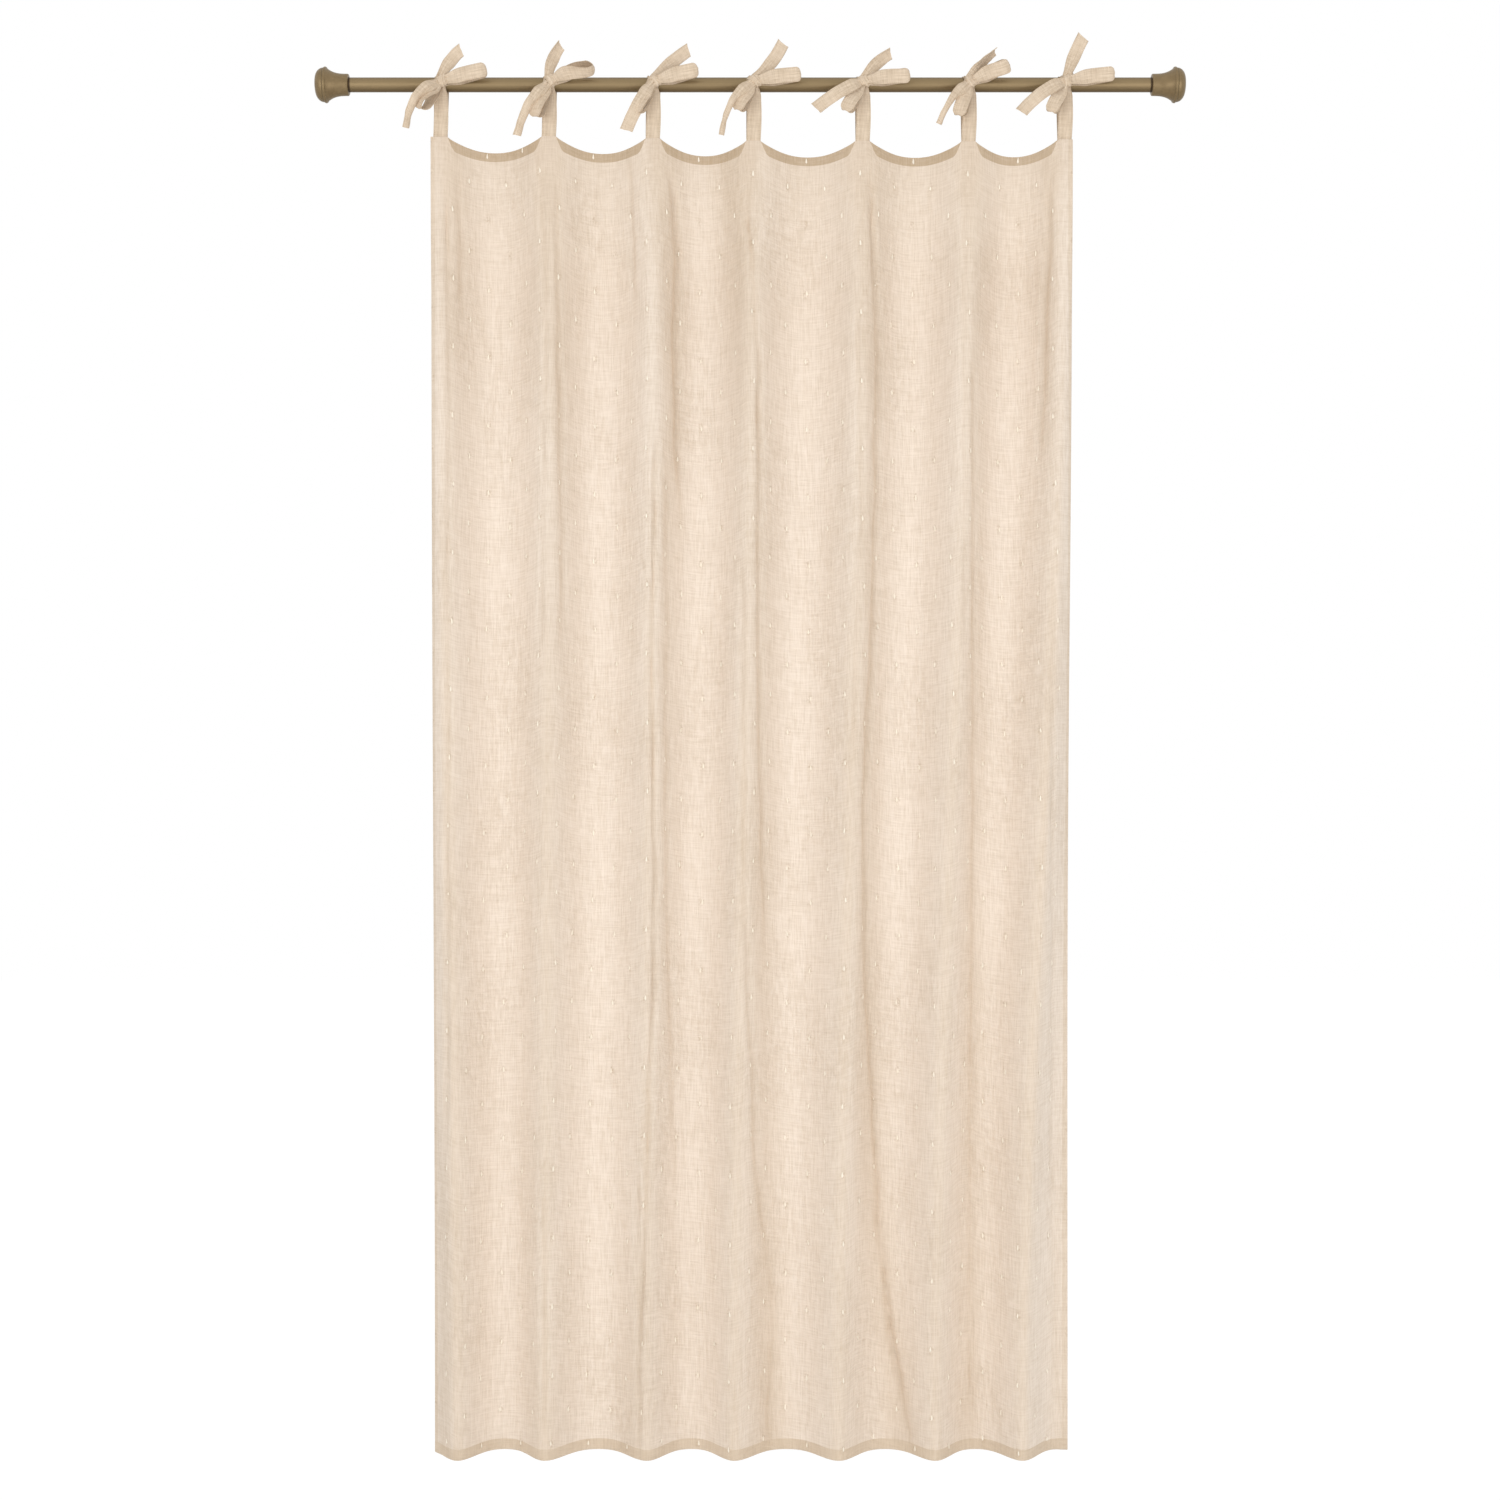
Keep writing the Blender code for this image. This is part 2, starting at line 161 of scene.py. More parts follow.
class Finish(Nodes):
    """A material being made up, with its Principled shader's constants set at once."""

    def __init__(self, name, **constants):
        super().__init__(bpy.data.materials.new(name))
        self.surface = self.tree.nodes["Principled BSDF"]
        for socket, value in constants.items():
            self.surface.inputs[socket.replace("_", " ")].default_value = value

    def object_axes(self):
        place = self.node("ShaderNodeTexCoord")
        split = self.node("ShaderNodeSeparateXYZ", sockets={0: place.outputs["Object"]})
        return [self.signal(split.outputs[i]) for i in range(3)]

    def uv_axes(self, uv_map):
        place = self.node("ShaderNodeUVMap", {"uv_map": uv_map})
        split = self.node("ShaderNodeSeparateXYZ", sockets={0: place.outputs[0]})
        return self.signal(split.outputs[0]), self.signal(split.outputs[1])

    def speckle(self, x, y, z=0.0, detail=2.0, distortion=0.0):
        """Noise from 0 to 1 with one cell to each unit of x, y and z."""
        cell = self.node("ShaderNodeCombineXYZ", sockets={0: x, 1: y, 2: z})
        sockets = {"Vector": cell.outputs[0], "Scale": 1.0}
        sockets |= {"Detail": detail, "Distortion": distortion}
        return self.signal(self.node("ShaderNodeTexNoise", sockets=sockets).outputs[0])

    def mix(self, share, low, high):
        """One colour passing into another as share goes from 0 to 1."""
        made = self.node("ShaderNodeMix", {"data_type": "RGBA"}, {0: share, 6: low, 7: high})
        return made.outputs[2]

    def relief(self, height, distance, strength=1.0, normal=None):
        sockets = {"Height": height, "Distance": distance, "Strength": strength}
        if normal is not None:
            sockets["Normal"] = normal
        return self.node("ShaderNodeBump", sockets=sockets).outputs["Normal"]

    def paint(self, socket, value):
        self.feed(self.surface.inputs[socket], value)


bpy.ops.object.select_all(action="DESELECT")
bpy.ops.mesh.primitive_plane_add(size=floor_side, location=floor_middle)
floor = bpy.context.object
floor.name = "studio_floor"
white = (1, 1, 1, 1)
floor_base = (floor_white, floor_white, floor_white, 1)
paint = Finish("White studio floor", Base_Color=floor_base, Roughness=0.8)
glow = paint.node("ShaderNodeEmission", sockets={"Strength": floor_glow_strength})
seen = paint.signal(paint.node("ShaderNodeLightPath").outputs["Is Camera Ray"])
paint.show(seen * floor_glow, paint.surface, glow, "Material Output")
floor.data.materials.append(paint.made)

sky = Nodes(bpy.data.worlds.new("White room"))
bpy.context.scene.world = sky.made
room = sky.tree.nodes["Background"]
room.inputs["Color"].default_value = white
room.inputs["Strength"].default_value = world_glow
backdrop = sky.node("ShaderNodeBackground", sockets={"Color": white})
rays = sky.node("ShaderNodeLightPath").outputs
seen = sky.signal(rays["Is Camera Ray"])
for kind in ("Is Glossy Ray", "Is Transmission Ray"):
    seen = seen.maths("MAXIMUM", rays[kind])
sky.show(seen, room, backdrop, "World Output")

for name, place, side, power in lamps:
    bpy.ops.object.light_add(type="AREA", location=place)
    lamp = bpy.context.object
    lamp.name = name
    lamp.data.shape = "SQUARE"
    lamp.data.size = side
    lamp.data.energy = power
    lamp.rotation_euler = (panel_middle - Vector(place)).to_track_quat("-Z", "Y").to_euler()

bpy.ops.object.camera_add(location=camera_place, rotation=(radians(90), 0, 0))
camera = bpy.context.object
camera.data.sensor_width = camera_sensor
camera.data.lens = camera_lens
bpy.context.scene.camera = camera
bpy.context.scene.view_settings.view_transform = "Standard"


# The rod: a drawn steel tube, sprayed satin antique gold. Its ends are pushed into the caps, and
# the paint keeps faint lines that run along the tube.
rod_radius = 0.0111
rod_wall = 0.0010
round_steps = 96
cap_length = 0.0510
ring_shadow_full_to = 0.0018
ring_shadow_ends_at = 0.0036
rod_low, rod_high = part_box("rod_tube")
gold_mid = (152, 131, 96)
gold_dark = (106, 87, 57)
ring_shadow_colour = (70, 53, 33)


def antique_gold(name, drawn):
    """Satin gold spray: mottled on a cast cap, and even along a drawn tube. The tube has painted
    shade at its top and bottom and a painted shadow ring where it goes into a cap."""
    finish = Finish(name, Metallic=0.55)
    x, y, z = finish.object_axes()
    mottle = finish.speckle(x * 90, y * 160, z * 160, detail=3.0)
    dust = finish.speckle(x * 2200, y * 2200, z * 2200, detail=1.0)
    if drawn:
        grain = finish.speckle(x * 14, y * 1500, z * 1500, detail=1.0) * 0.5 + 0.2
        # Painted shade: the tube is made darker towards its top and bottom, by its height about its
        # axis.
        aside = z * (1 / rod_radius)
        grain_dust_and_shade = grain * 0.55 + dust * 0.25
        grain_dust_and_shade = grain_dust_and_shade + 0.32 - aside * aside * (aside * aside * 0.7 + 0.35)
        colour = finish.mix(grain_dust_and_shade, tone(*gold_dark), tone(*gold_mid))
        # Painted shadow: a dark ring on the tube next to the lip of each cap.
        from_end = (x - rod_low.x).maths("MINIMUM", rod_high.x - x)
        past_ring_shadow = (from_end - (cap_length - rod_low.x)).between(ring_shadow_full_to, ring_shadow_ends_at)
        colour = finish.mix(past_ring_shadow, tone(*ring_shadow_colour), colour)
    else:
        grain = mottle
        colour = finish.mix(grain * 0.55 + dust * 0.25, tone(*gold_dark), tone(*gold_mid))
    finish.paint("Base Color", colour)
    finish.paint("Roughness", 0.34 + 0.10 * mottle + 0.06 * dust)
    finish.paint("Normal", finish.relief(grain * 0.6 + dust * 0.4, 0.00012, 0.5))
    return finish.made


bpy.ops.object.select_all(action="DESELECT")
bpy.ops.mesh.primitive_cylinder_add(
    vertices=round_steps,
    radius=rod_radius,
    depth=rod_high.x - rod_low.x,
    end_fill_type="NOTHING",
    location=((rod_low.x + rod_high.x) / 2, 0, 0),
    rotation=(0, radians(90), 0),
)
rod = bpy.context.object
rod.name = "curtain_rod"
rod_thickness = rod.modifiers.new("Tube wall", "SOLIDIFY")
rod_thickness.thickness = rod_wall
rod_thickness.offset = -1
bpy.ops.object.modifier_apply(modifier=rod_thickness.name)
bpy.ops.object.transform_apply(location=True, rotation=True, scale=True)
bpy.ops.object.shade_smooth_by_angle(angle=radians(40))
rod.data.materials.append(antique_gold("Antique gold rod", drawn=True))
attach(rod, "root")
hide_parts("rod_tube")


# The end caps: resin castings in the rod's finish, each pushed over the rod's end. A domed face, a
# shallow groove, a rounded bead and a flared hollow neck, all turned about the rod's axis.
cap_face_radius = 0.0116
cap_dome_radius = 0.0258
cap_dome_length = 0.0125
cap_groove_depth = 0.0004
cap_groove_reach = 0.0008
cap_bead_radius = 0.0273
cap_bead_width = 0.0056
cap_bead_turn = 62
cap_shoulder_radius = 0.0250
cap_flare = 3.0
cap_flare_rings = 16
cap_neck_radius = 0.0166
cap_neck_round = 0.0018
cap_socket_depth = 0.0320
cap_socket_radius = rod_radius + 0.0003


def turned_arc(centre, radii, start, end, steps):
    """Points of an ellipse's arc, each a radius and a distance along the rod."""
    turns = [radians(start + (end - start) * i / steps) for i in range(steps + 1)]
    return [
        (centre[0] + radii[0] * cos(turn), centre[1] + radii[1] * sin(turn))
        for turn in turns
    ]


bead = cap_bead_width / 2
bead_at = cap_dome_length + bead
shoulder_at = bead_at + 0.88 * bead
neck_at = cap_length - cap_neck_round
dome_centre = (cap_face_radius, cap_dome_length)
groove_centre = (cap_dome_radius, cap_dome_length + cap_groove_reach)
neck_centre = (cap_neck_radius - cap_neck_round, neck_at)
cap_rings = turned_arc(
    dome_centre, (cap_dome_radius - cap_face_radius, cap_dome_length), -90, 0, 12
)
cap_rings += turned_arc(
    groove_centre, (cap_groove_depth, cap_groove_reach), -90, -270, 6
)[1:-1]
cap_rings += turned_arc(
    (cap_bead_radius - bead, bead_at), (bead, bead), -cap_bead_turn, cap_bead_turn, 12
)
for i in range(cap_flare_rings + 1):
    along = i / cap_flare_rings
    flared = (cap_shoulder_radius - cap_neck_radius) * (1 - along) ** cap_flare
    cap_rings.append((cap_neck_radius + flared, shoulder_at + (neck_at - shoulder_at) * along))
cap_rings += turned_arc(neck_centre, (cap_neck_round, cap_neck_round), 0, 90, 5)[1:]
cap_rings += [(cap_socket_radius, cap_length), (cap_socket_radius, cap_length - cap_socket_depth)]

bpy.ops.object.select_all(action="DESELECT")
bpy.ops.mesh.primitive_circle_add(
    vertices=round_steps,
    radius=cap_face_radius,
    fill_type="NGON",
    rotation=(0, radians(-90), 0),
)
left_cap = bpy.context.object
left_cap.name = "left_cap"
bpy.ops.object.transform_apply(location=True, rotation=True, scale=True)
bpy.ops.object.mode_set(mode="EDIT")
bpy.ops.mesh.select_mode(type="EDGE")
bpy.ops.mesh.select_all(action="SELECT")
for (radius, along), (next_radius, next_along) in zip(cap_rings, cap_rings[1:]):
    bpy.ops.mesh.extrude_edges_move(
        TRANSFORM_OT_translate={"value": (next_along - along, 0, 0)}
    )
    widening = next_radius / radius
    bpy.ops.transform.resize(value=(1, widening, widening), center_override=(next_along, 0, 0))
bpy.ops.mesh.edge_face_add()
bpy.ops.mesh.select_all(action="SELECT")
bpy.ops.mesh.normals_make_consistent(inside=False)
bpy.ops.mesh.select_all(action="DESELECT")
bpy.ops.object.mode_set(mode="OBJECT")
bpy.ops.object.shade_smooth_by_angle(angle=radians(38))
left_cap.data.materials.append(antique_gold("Antique gold cap", drawn=False))

right_cap = left_cap.copy()
right_cap.data = left_cap.data.copy()
right_cap.name = "right_cap"
bpy.context.collection.objects.link(right_cap)
right_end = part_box("right_end_cap")[1].x
turned_round = Matrix.Rotation(pi, 4, "Z")
right_cap.data.transform(Matrix.Translation((right_end, 0, 0)) @ turned_round)
for cap, node in ((left_cap, "left_end_cap"), (right_cap, "right_end_cap")):
    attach(cap, "root")
    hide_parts(node)


# The panel: one sheer cloth of slub yarn, 2.04 m long, with narrow turned side hems and a turned
# bottom hem. It is sewn to the straps at seven places, falls in scallops between them, and hangs in
# soft folds whose fronts are at the ties. Its creases are left from the packet.
cloth = 0.0008
layer = cloth + 0.0003
panel_drop = 2.0370
side_hem = 0.0080
bottom_hem = 0.0160
hem_corner_run = 0.0140
panel_past_left_strap = 0.0030
panel_past_right_strap = 0.0006
strap_width = 0.0220
tie_rise = 0.0820
facing_height = 0.0150
seam_allowance = 0.0025
hem_edge = 0.0004
tie_x = [0.1928, 0.3598, 0.5198, 0.6748, 0.8428, 1.0058, 1.1538]
tie_drop = [0.000, -0.001, 0.002, 0.006, 0.006, 0.007, 0.004]
hem_drift = (0.0262, -0.0067, -0.0092, -0.0300, -0.0363, -0.0509, -0.0648)
fold_depth = 0.0600
fold_depth_top = 0.0220
fold_pinch = 0.15
fold_front = -0.0080
flat_run = 0.2600
top_sag = 0.0205
sag_roundness = 0.78
sag_run = 0.0800
close_rows = 24
close_rows_end = 0.2400
panel_columns = 292
panel_rows = 146
sheer_light = (239, 226, 212)
sheer_fold_shade = (222, 205, 186)
sheer_doubled = (217, 199, 177)
sheer_thread = (186, 164, 137)
weft_sink = 0.0150
crease_lead = 0.0200
crease_trail = 0.0600
crease_scale = 0.0040
crumple_width = 1.27
top_shade_end = 0.16
upper_shade_start = 0.10
upper_shade_end = 0.55
# Each crease: the points that it runs through, as its place along the rod and its level, then how
# wide and how deep it is.
creases = (
    (((0.2021, 0.072), (0.2067, 0.373), (0.2052, 0.651), (0.2021, 1.53)), 0.004, 0.0032),
    (((0.2206, 0.034), (0.2252, 0.25)), 0.004, 0.003),
    (((0.5337, 0.018), (0.5476, 0.052), (0.5553, 0.103),
      (0.5584, 0.188), (0.5538, 0.296), (0.5615, 0.543)), 0.0048, 0.0075),
    (((0.526, 0.466), (0.5183, 0.789), (0.5244, 1.098),
      (0.5214, 1.329), (0.4998, 1.838)), 0.0042, 0.0052),
    (((0.543, 0.527), (0.5414, 1.144), (0.5553, 1.607)), 0.0045, 0.0026),
    (((0.4843, 0.018), (0.4874, 0.234)), 0.004, 0.0036),
    (((0.3717, 0.049), (0.3779, 0.435), (0.381, 0.774)), 0.0042, 0.0036),
    (((0.3471, 0.018), (0.3548, 0.296), (0.3471, 0.774)), 0.004, 0.0028),
    (((0.6633, 0.095), (0.6849, 0.358), (0.6849, 0.789), (0.6941, 1.237)), 0.0042, 0.0048),
    (((0.6571, 0.651), (0.6617, 1.175), (0.6818, 1.607),
      (0.708, 1.792), (0.6988, 2.008)), 0.0045, 0.0034),
    (((0.8515, 0.018), (0.87, 0.311), (0.8638, 0.712), (0.8484, 1.021), (0.8515, 1.298),
      (0.8669, 1.53), (0.8715, 1.692), (0.8885, 1.854), (0.9162, 2.008)), 0.0046, 0.0066),
    (((0.8345, 0.25), (0.8422, 0.589), (0.8268, 0.959)), 0.0042, 0.0028),
    (((1.015, 0.342), (1.0196, 1.021), (1.015, 1.977)), 0.0042, 0.0036),
    (((0.998, 0.064), (1.0026, 0.774)), 0.0042, 0.0024),
    (((1.1322, 0.034), (1.126, 0.28), (1.1183, 0.466)), 0.0042, 0.0044),
    (((1.1353, 0.651), (1.1445, 1.915)), 0.004, 0.0024),
    (((0.4936, 1.607), (0.4982, 2.016)), 0.0042, 0.0036),
    (((0.3517, 1.638), (0.3548, 2.016)), 0.0042, 0.0034),
)
# Painted fold shade: soft dark bands in the cloth's colour under the ties. The levels that they
# are given at, then for each its place along the rod and its strength there, and its half width.
band_levels = (0.018, 0.404, 0.789, 1.175, 1.561, 1.792, 2.008)
bands = (
    ((0.21, 0.207, 0.202, 0.202, 0.202, 0.199, 0.199), (0.6, 0.6, 0.5, 0.5, 0.6, 0.7, 0.8), 0.022),
    ((0.358, 0.37, 0.37, 0.356, 0.35, 0.35, 0.353), (0.8, 0.8, 0.5, 0.38, 0.4, 0.6, 0.9), 0.026),
    ((0.537, 0.549, 0.531, 0.526, 0.515, 0.5, 0.495), (0.8, 0.7, 0.7, 0.6, 0.5, 0.6, 0.9), 0.023),
    ((0.651, 0.669, 0.68, 0.68, 0.685, 0.697, 0.7), (0.9, 0.8, 0.7, 0.7, 0.6, 0.8, 1.00), 0.029),
    ((0.847, 0.855, 0.848, 0.845, 0.855, 0.876, 0.905), (0.8, 0.9, 0.8, 0.8, 0.9, 0.9, 0.9), 0.028),
    ((1.009, 1.012, 1.012, 1.016, 1.016, 1.016, 1.009), (0.6, 0.6, 0.5, 0.6, 0.6, 0.7, 0.9), 0.022),
    ((1.135, 1.129, 1.157, 1.157, 1.157, 1.151, 1.148), (0.7, 0.5, 0.3, 0.3, 0.3, 0.4, 0.7), 0.015),
)


def ease(value):
    """A smooth step from 0 to 1 as value goes from 0 to 1."""
    value = min(max(value, 0.0), 1.0)
    return value * value * (3 - 2 * value)


def blend(start, end, share):
    return start + (end - start) * share


def waver(x, y, z):
    """A smooth random height, from -1 to 1, that is the same at each run."""
    return noise.noise(Vector((x, y, z)))


def sag_share(x):
    """The place between two straps, as 0 at either and 1 midway, in a round arc."""
    at = max([i for i in range(len(tie_x) - 1) if tie_x[i] <= x], default=0)
    left, right = tie_x[at] + strap_width / 2, tie_x[at + 1] - strap_width / 2
    share = min(max((x - left) / (right - left), 0.0), 1.0)
    line = blend(tie_drop[at], tie_drop[at + 1], share)
    return line, (4 * share * (1 - share)) ** sag_roundness


class HungRow:
    """One level of the hung panel, read by the share of its width."""

    left = tie_x[0] - strap_width / 2 - panel_past_left_strap
    right = tie_x[-1] + strap_width / 2 + panel_past_right_strap
    samples = 900

    def __init__(self, down):
        self.down = down
        moved = ease(down / panel_drop)
        fronts = [x + drift * moved for x, drift in zip(tie_x, hem_drift)]
        self.fronts = [2 * fronts[0] - fronts[1], *fronts, 2 * fronts[-1] - fronts[-2]]
        self.flat = strap_width / 2 * (1 - ease((down - facing_height) / flat_run))
        self.depth = blend(fold_depth_top, fold_depth, ease(down / flat_run))
        self.x = np.linspace(self.left, self.right, self.samples + 1)
        self.y = np.array([self.wave_at(x) for x in self.x]) * self.depth + fold_front
        steps = np.hypot(np.diff(self.x), np.diff(self.y))
        self.run = np.concatenate([[0.0], np.cumsum(steps)])
        self.length = self.run[-1]
        self.creases = []
        for points, width, deep in creases:
            start, end = points[0][1], points[-1][1]
            if start - crease_lead < down < end + crease_trail:
                places, heights = zip(*points)
                at = np.interp(down, heights, places)
                at += 0.003 * waver(start * 50, down * 14, 0)
                fade = ease((down - start + crease_lead) / 0.05)
                fade *= ease((end + crease_trail - down) / 0.12)
                fade *= 1 + 0.6 * waver(start * 90, down * 11, 2)
                self.creases.append((at, width, deep * fade))
        self.bands = [
            (np.interp(down, band_levels, place), np.interp(down, band_levels, dark), width)
            for place, dark, width in bands
        ]

    def x_at(self, share):
        """The place along the rod at this share of the cloth's width."""
        return float(np.interp(share * self.length, self.run, self.x))

    def wave_at(self, x):
        """0 at the front of a fold and 1 at its back."""
        for left, right in zip(self.fronts, self.fronts[1:]):
            if x <= right:
                break
        share = (x - left - self.flat) / (right - left - 2 * self.flat)
        turn = 2 * pi * min(max(share, 0.0), 1.0)
        return (1 - cos(turn) + fold_pinch * (1 - cos(2 * turn))) / 2

    def creased(self, x):
        """The height of the sharp creases at this place along the rod."""
        return sum(
            deep * exp(-(((x - at) / width) ** 2)) for at, width, deep in self.creases
        )

    def fold_band_shade(self, x):
        """How dark the painted fold shade is at this place along the rod."""
        return max(
            dark * exp(-(((x - at) / width) ** 2)) for at, dark, width in self.bands
        )

    def crumple(self, share):
        """How far the cloth stands off its smooth folds, in creases and soft crumples."""
        along = share * crumple_width
        free = ease((self.down - 0.020) / 0.100) * ease((panel_drop - self.down) / 0.060 + 0.35)
        edge = ease(min(share, 1 - share) / 0.02)
        off = 0.0009 * waver(along * 16, self.down * 5.0, 4.2)
        off += 0.0004 * waver(along * 42, self.down * 17.0, 9.7)
        return (off + self.creased(self.x_at(share))) * free * edge

    def point(self, share, behind=0.0, sideways=0.0, lower=0.0):
        """The point at this share of the width, moved behind the cloth, along it or down."""
        share = min(max(share, 0.0), 1.0)
        x = self.x_at(share)
        back = float(np.interp(x, self.x, self.y))
        reach = 0.0015
        ahead, before = np.interp((x + reach, x - reach), self.x, self.y)
        rise = float(ahead - before)
        tangent = Vector((2 * reach, rise, 0)).normalized()
        normal = Vector((-tangent.y, tangent.x, 0))
        line, arc = sag_share(x)
        fall = line * (1 - self.down / panel_drop) + top_sag * arc * exp(-self.down / sag_run)
        place = Vector((x, back, -tie_rise - self.down - fall - lower))
        return place + normal * (behind + self.crumple(share)) + tangent * sideways


def mesh_piece(name, points, faces):
    mesh = bpy.data.meshes.new(name)
    mesh.from_pydata(points, [], faces)
    made = bpy.data.objects.new(name, mesh)
    bpy.context.collection.objects.link(made)
    return made


def cloth_mesh(name, across, down, place, cloth_uv):
    """A grid of cloth points with a UV map in metres of flat cloth, not yet given its thickness."""
    points = [place(i, j) for j in range(down) for i in range(across)]
    faces = [
        (j * across + i, (j + 1) * across + i, (j + 1) * across + i + 1, j * across + i + 1)
        for j in range(down - 1)
        for i in range(across - 1)
    ]
    made = mesh_piece(name, points, faces)
    flat = made.data.uv_layers.new(name="Cloth")
    for loop in made.data.loops:
        row, column = divmod(loop.vertex_index, across)
        flat.data[loop.index].uv = cloth_uv(column, row)
    return made


def pick(piece, *others):
    """Selects these objects and nothing else, with the first as the active one."""
    bpy.ops.object.select_all(action="DESELECT")
    bpy.context.view_layer.objects.active = piece
    for each in (piece, *others):
        each.select_set(True)


def give_thickness(piece, thickness):
    """Turns a single sheet into closed cloth, the same on both sides of where it lay."""
    pick(piece)
    wall = piece.modifiers.new("Cloth", "SOLIDIFY")
    wall.thickness = thickness
    wall.offset = 0
    bpy.ops.object.modifier_apply(modifier=wall.name)
    bpy.ops.object.shade_smooth_by_angle(angle=radians(50))


close_run = close_rows_end - facing_height
hem_line = panel_drop - bottom_hem
levels = [0.0, facing_height]
levels += [facing_height + close_run * i / close_rows for i in range(1, close_rows + 1)]
free_rows = panel_rows - len(levels) - 4
levels += [blend(close_rows_end, hem_line, i / free_rows) for i in range(1, free_rows + 1)]
levels += [hem_line + bottom_hem * i / 3 for i in (1, 2, 3)]
hung = {down: HungRow(down) for down in levels}
flat_width = hung[panel_drop].length
side_share = side_hem / flat_width
inner_share = (side_hem + layer) / flat_width
corner_share = hem_corner_run / flat_width

turns = [radians(angle) for angle in (45, 90, 135)]
shares = [inner_share, inner_share + corner_share / 2, inner_share + corner_share]
free_columns = panel_columns - 6
start, end = shares[-1], 1 - shares[-1]
shares += [blend(start, end, i / (free_columns - 1)) for i in range(1, free_columns - 1)]
shares += [end, end + corner_share / 2, end + corner_share]
panel_edge = [(side_share, layer, 0.0), (0.0, layer, 0.0)]
panel_edge += [
    (0.0, layer / 2 * (1 - cos(turn)), -layer / 2 * sin(turn))
    for turn in reversed(turns)
]
panel_edge += [(0.0, 0.0, 0.0)]
far_edge = [(1 - share, behind, -sideways) for share, behind, sideways in reversed(panel_edge)]
columns = panel_edge + [(share, 0.0, 0.0) for share in shares] + far_edge
rows = [(down, 0.0) for down in levels]
rows += [(panel_drop, turn) for turn in turns] + [(panel_drop, pi), (hem_line, pi)]


def panel_point(column, row):
    """A point of the panel, also round the turns of its side hems and its bottom hem."""
    share, behind, sideways = columns[column]
    down, turn = rows[row]
    edge = min(share, 1 - share) * flat_width
    over_corner = layer * (1 + 2 * (1 - ease((edge - side_hem) / hem_corner_run)))
    radius = over_corner / 2 - behind
    back = over_corner / 2 - radius * cos(turn)
    return hung[down].point(share, back, sideways, radius * sin(turn))


def weft_fall(x, down):
    """How far the weft has sunk below its level here, as the cloth between two ties hangs lower."""
    return weft_sink * sag_share(x)[1] * (1 - exp(-down / sag_run))


def panel_uv(column, row):
    share, down = columns[column][0], rows[row][0]
    return share * flat_width, down - weft_fall(hung[down].x_at(share), down)


panel = cloth_mesh("sheer_panel", len(columns), len(rows), panel_point, panel_uv)
shade_map = panel.data.uv_layers.new(name="Painted_shade")
edges = panel.data.uv_layers.new(name="Edges")
facing_end = facing_height + seam_allowance
# Painted shade for the cloth's colour, kept in a UV map: how dark the fold bands and the fronts of
# the folds are, and how deep the creases are.
shade_map_at, band_rise = [], []
for down, _ in rows:
    level = hung[down]
    for share, _, _ in columns:
        x = level.x_at(share)
        crest = 1 - level.wave_at(x)
        # Painted shade on the fronts of the folds, growing down the panel.
        front = (0.40 * crest**3 + 0.55 * crest**12) * ease(down / 1.0)
        rise = facing_end * (1 - ease(2.4 * sag_share(x)[1]))
        band_rise.append(rise * (1 - ease((down - 0.03) / 0.05)))
        shade_map_at.append((max(level.fold_band_shade(x), front), level.creased(x) / crease_scale))
for loop in panel.data.loops:
    at = loop.vertex_index
    row, column = divmod(at, len(columns))
    shade_map.data[loop.index].uv = shade_map_at[at]
    edges.data[loop.index].uv = (columns[column][0] * flat_width, rows[row][0] + band_rise[at])
give_thickness(panel, cloth)


def slub_weave(finish, u, v, pitch=0.0011):
    """Plain weave of uneven yarn, by metres of flat cloth. Returns its tone and its height."""
    warp_slub = finish.speckle(u * 620, v * 40, 1.5, detail=2.0)
    weft_slub = finish.speckle(u * 40, v * 620, 7.5, detail=2.0)
    thick = finish.speckle(u * 170, v * 7, 31.0, detail=2.0)
    warp = (u * (2 * pi / pitch)).maths("SINE")
    weft = (v * (2 * pi / pitch)).maths("SINE")
    yarn = (warp * warp_slub + weft * weft_slub) * 0.25 + 0.5
    slub = warp_slub * 0.56 + weft_slub * 0.40 + thick * 0.04
    return slub, yarn


def crinkle(finish, u, v, where_from=0.42):
    """Small sharp creases that wander, as linen keeps, between 0 and 1."""
    wander = finish.speckle(u * 60, v * 38, 3.0, detail=4.0, distortion=0.7)
    small = finish.speckle(u * 150, v * 120, 9.0, detail=2.0, distortion=0.5)
    sharp = (1 - abs(wander - 0.5) * 7).maths("MAXIMUM", 0.0)
    tiny = (1 - abs(small - 0.5) * 7).maths("MAXIMUM", 0.0)
    where = finish.speckle(u * 9, v * 4, 12.0, detail=2.0).between(where_from, where_from + 0.24)
    return sharp * where * 0.7 + tiny * 0.3 * (where * 0.6 + 0.4)


# The cloth is drawn in round each woven dash and puckers beside it; the puckers are a bump and a
# painted shade in the weave's colour.
dashes_across = 18
dash_row_gap = 0.0530
dash_first_row = 0.0514
dash_phase = 0.016
pucker_width = 0.0055
pucker_height = 0.0085


def dash_pucker(finish, u, v):
    """1 beside a dash and 0 away from all of them."""
    row_at = (v - dash_first_row) * (1 / dash_row_gap)
    row = row_at.maths("ROUND")
    odd = row.maths("FLOORED_MODULO", 2.0)
    column_at = u * (dashes_across / flat_width) - dash_phase - odd * 0.5
    aside = column_at - column_at.maths("ROUND")
    aside = aside * (flat_width / dashes_across / pucker_width)
    along = (row_at - row) * (dash_row_gap / pucker_height)
    away = (aside * aside + along * along).maths("SQRT")
    return 1 - away.between(0.25, 1.3)


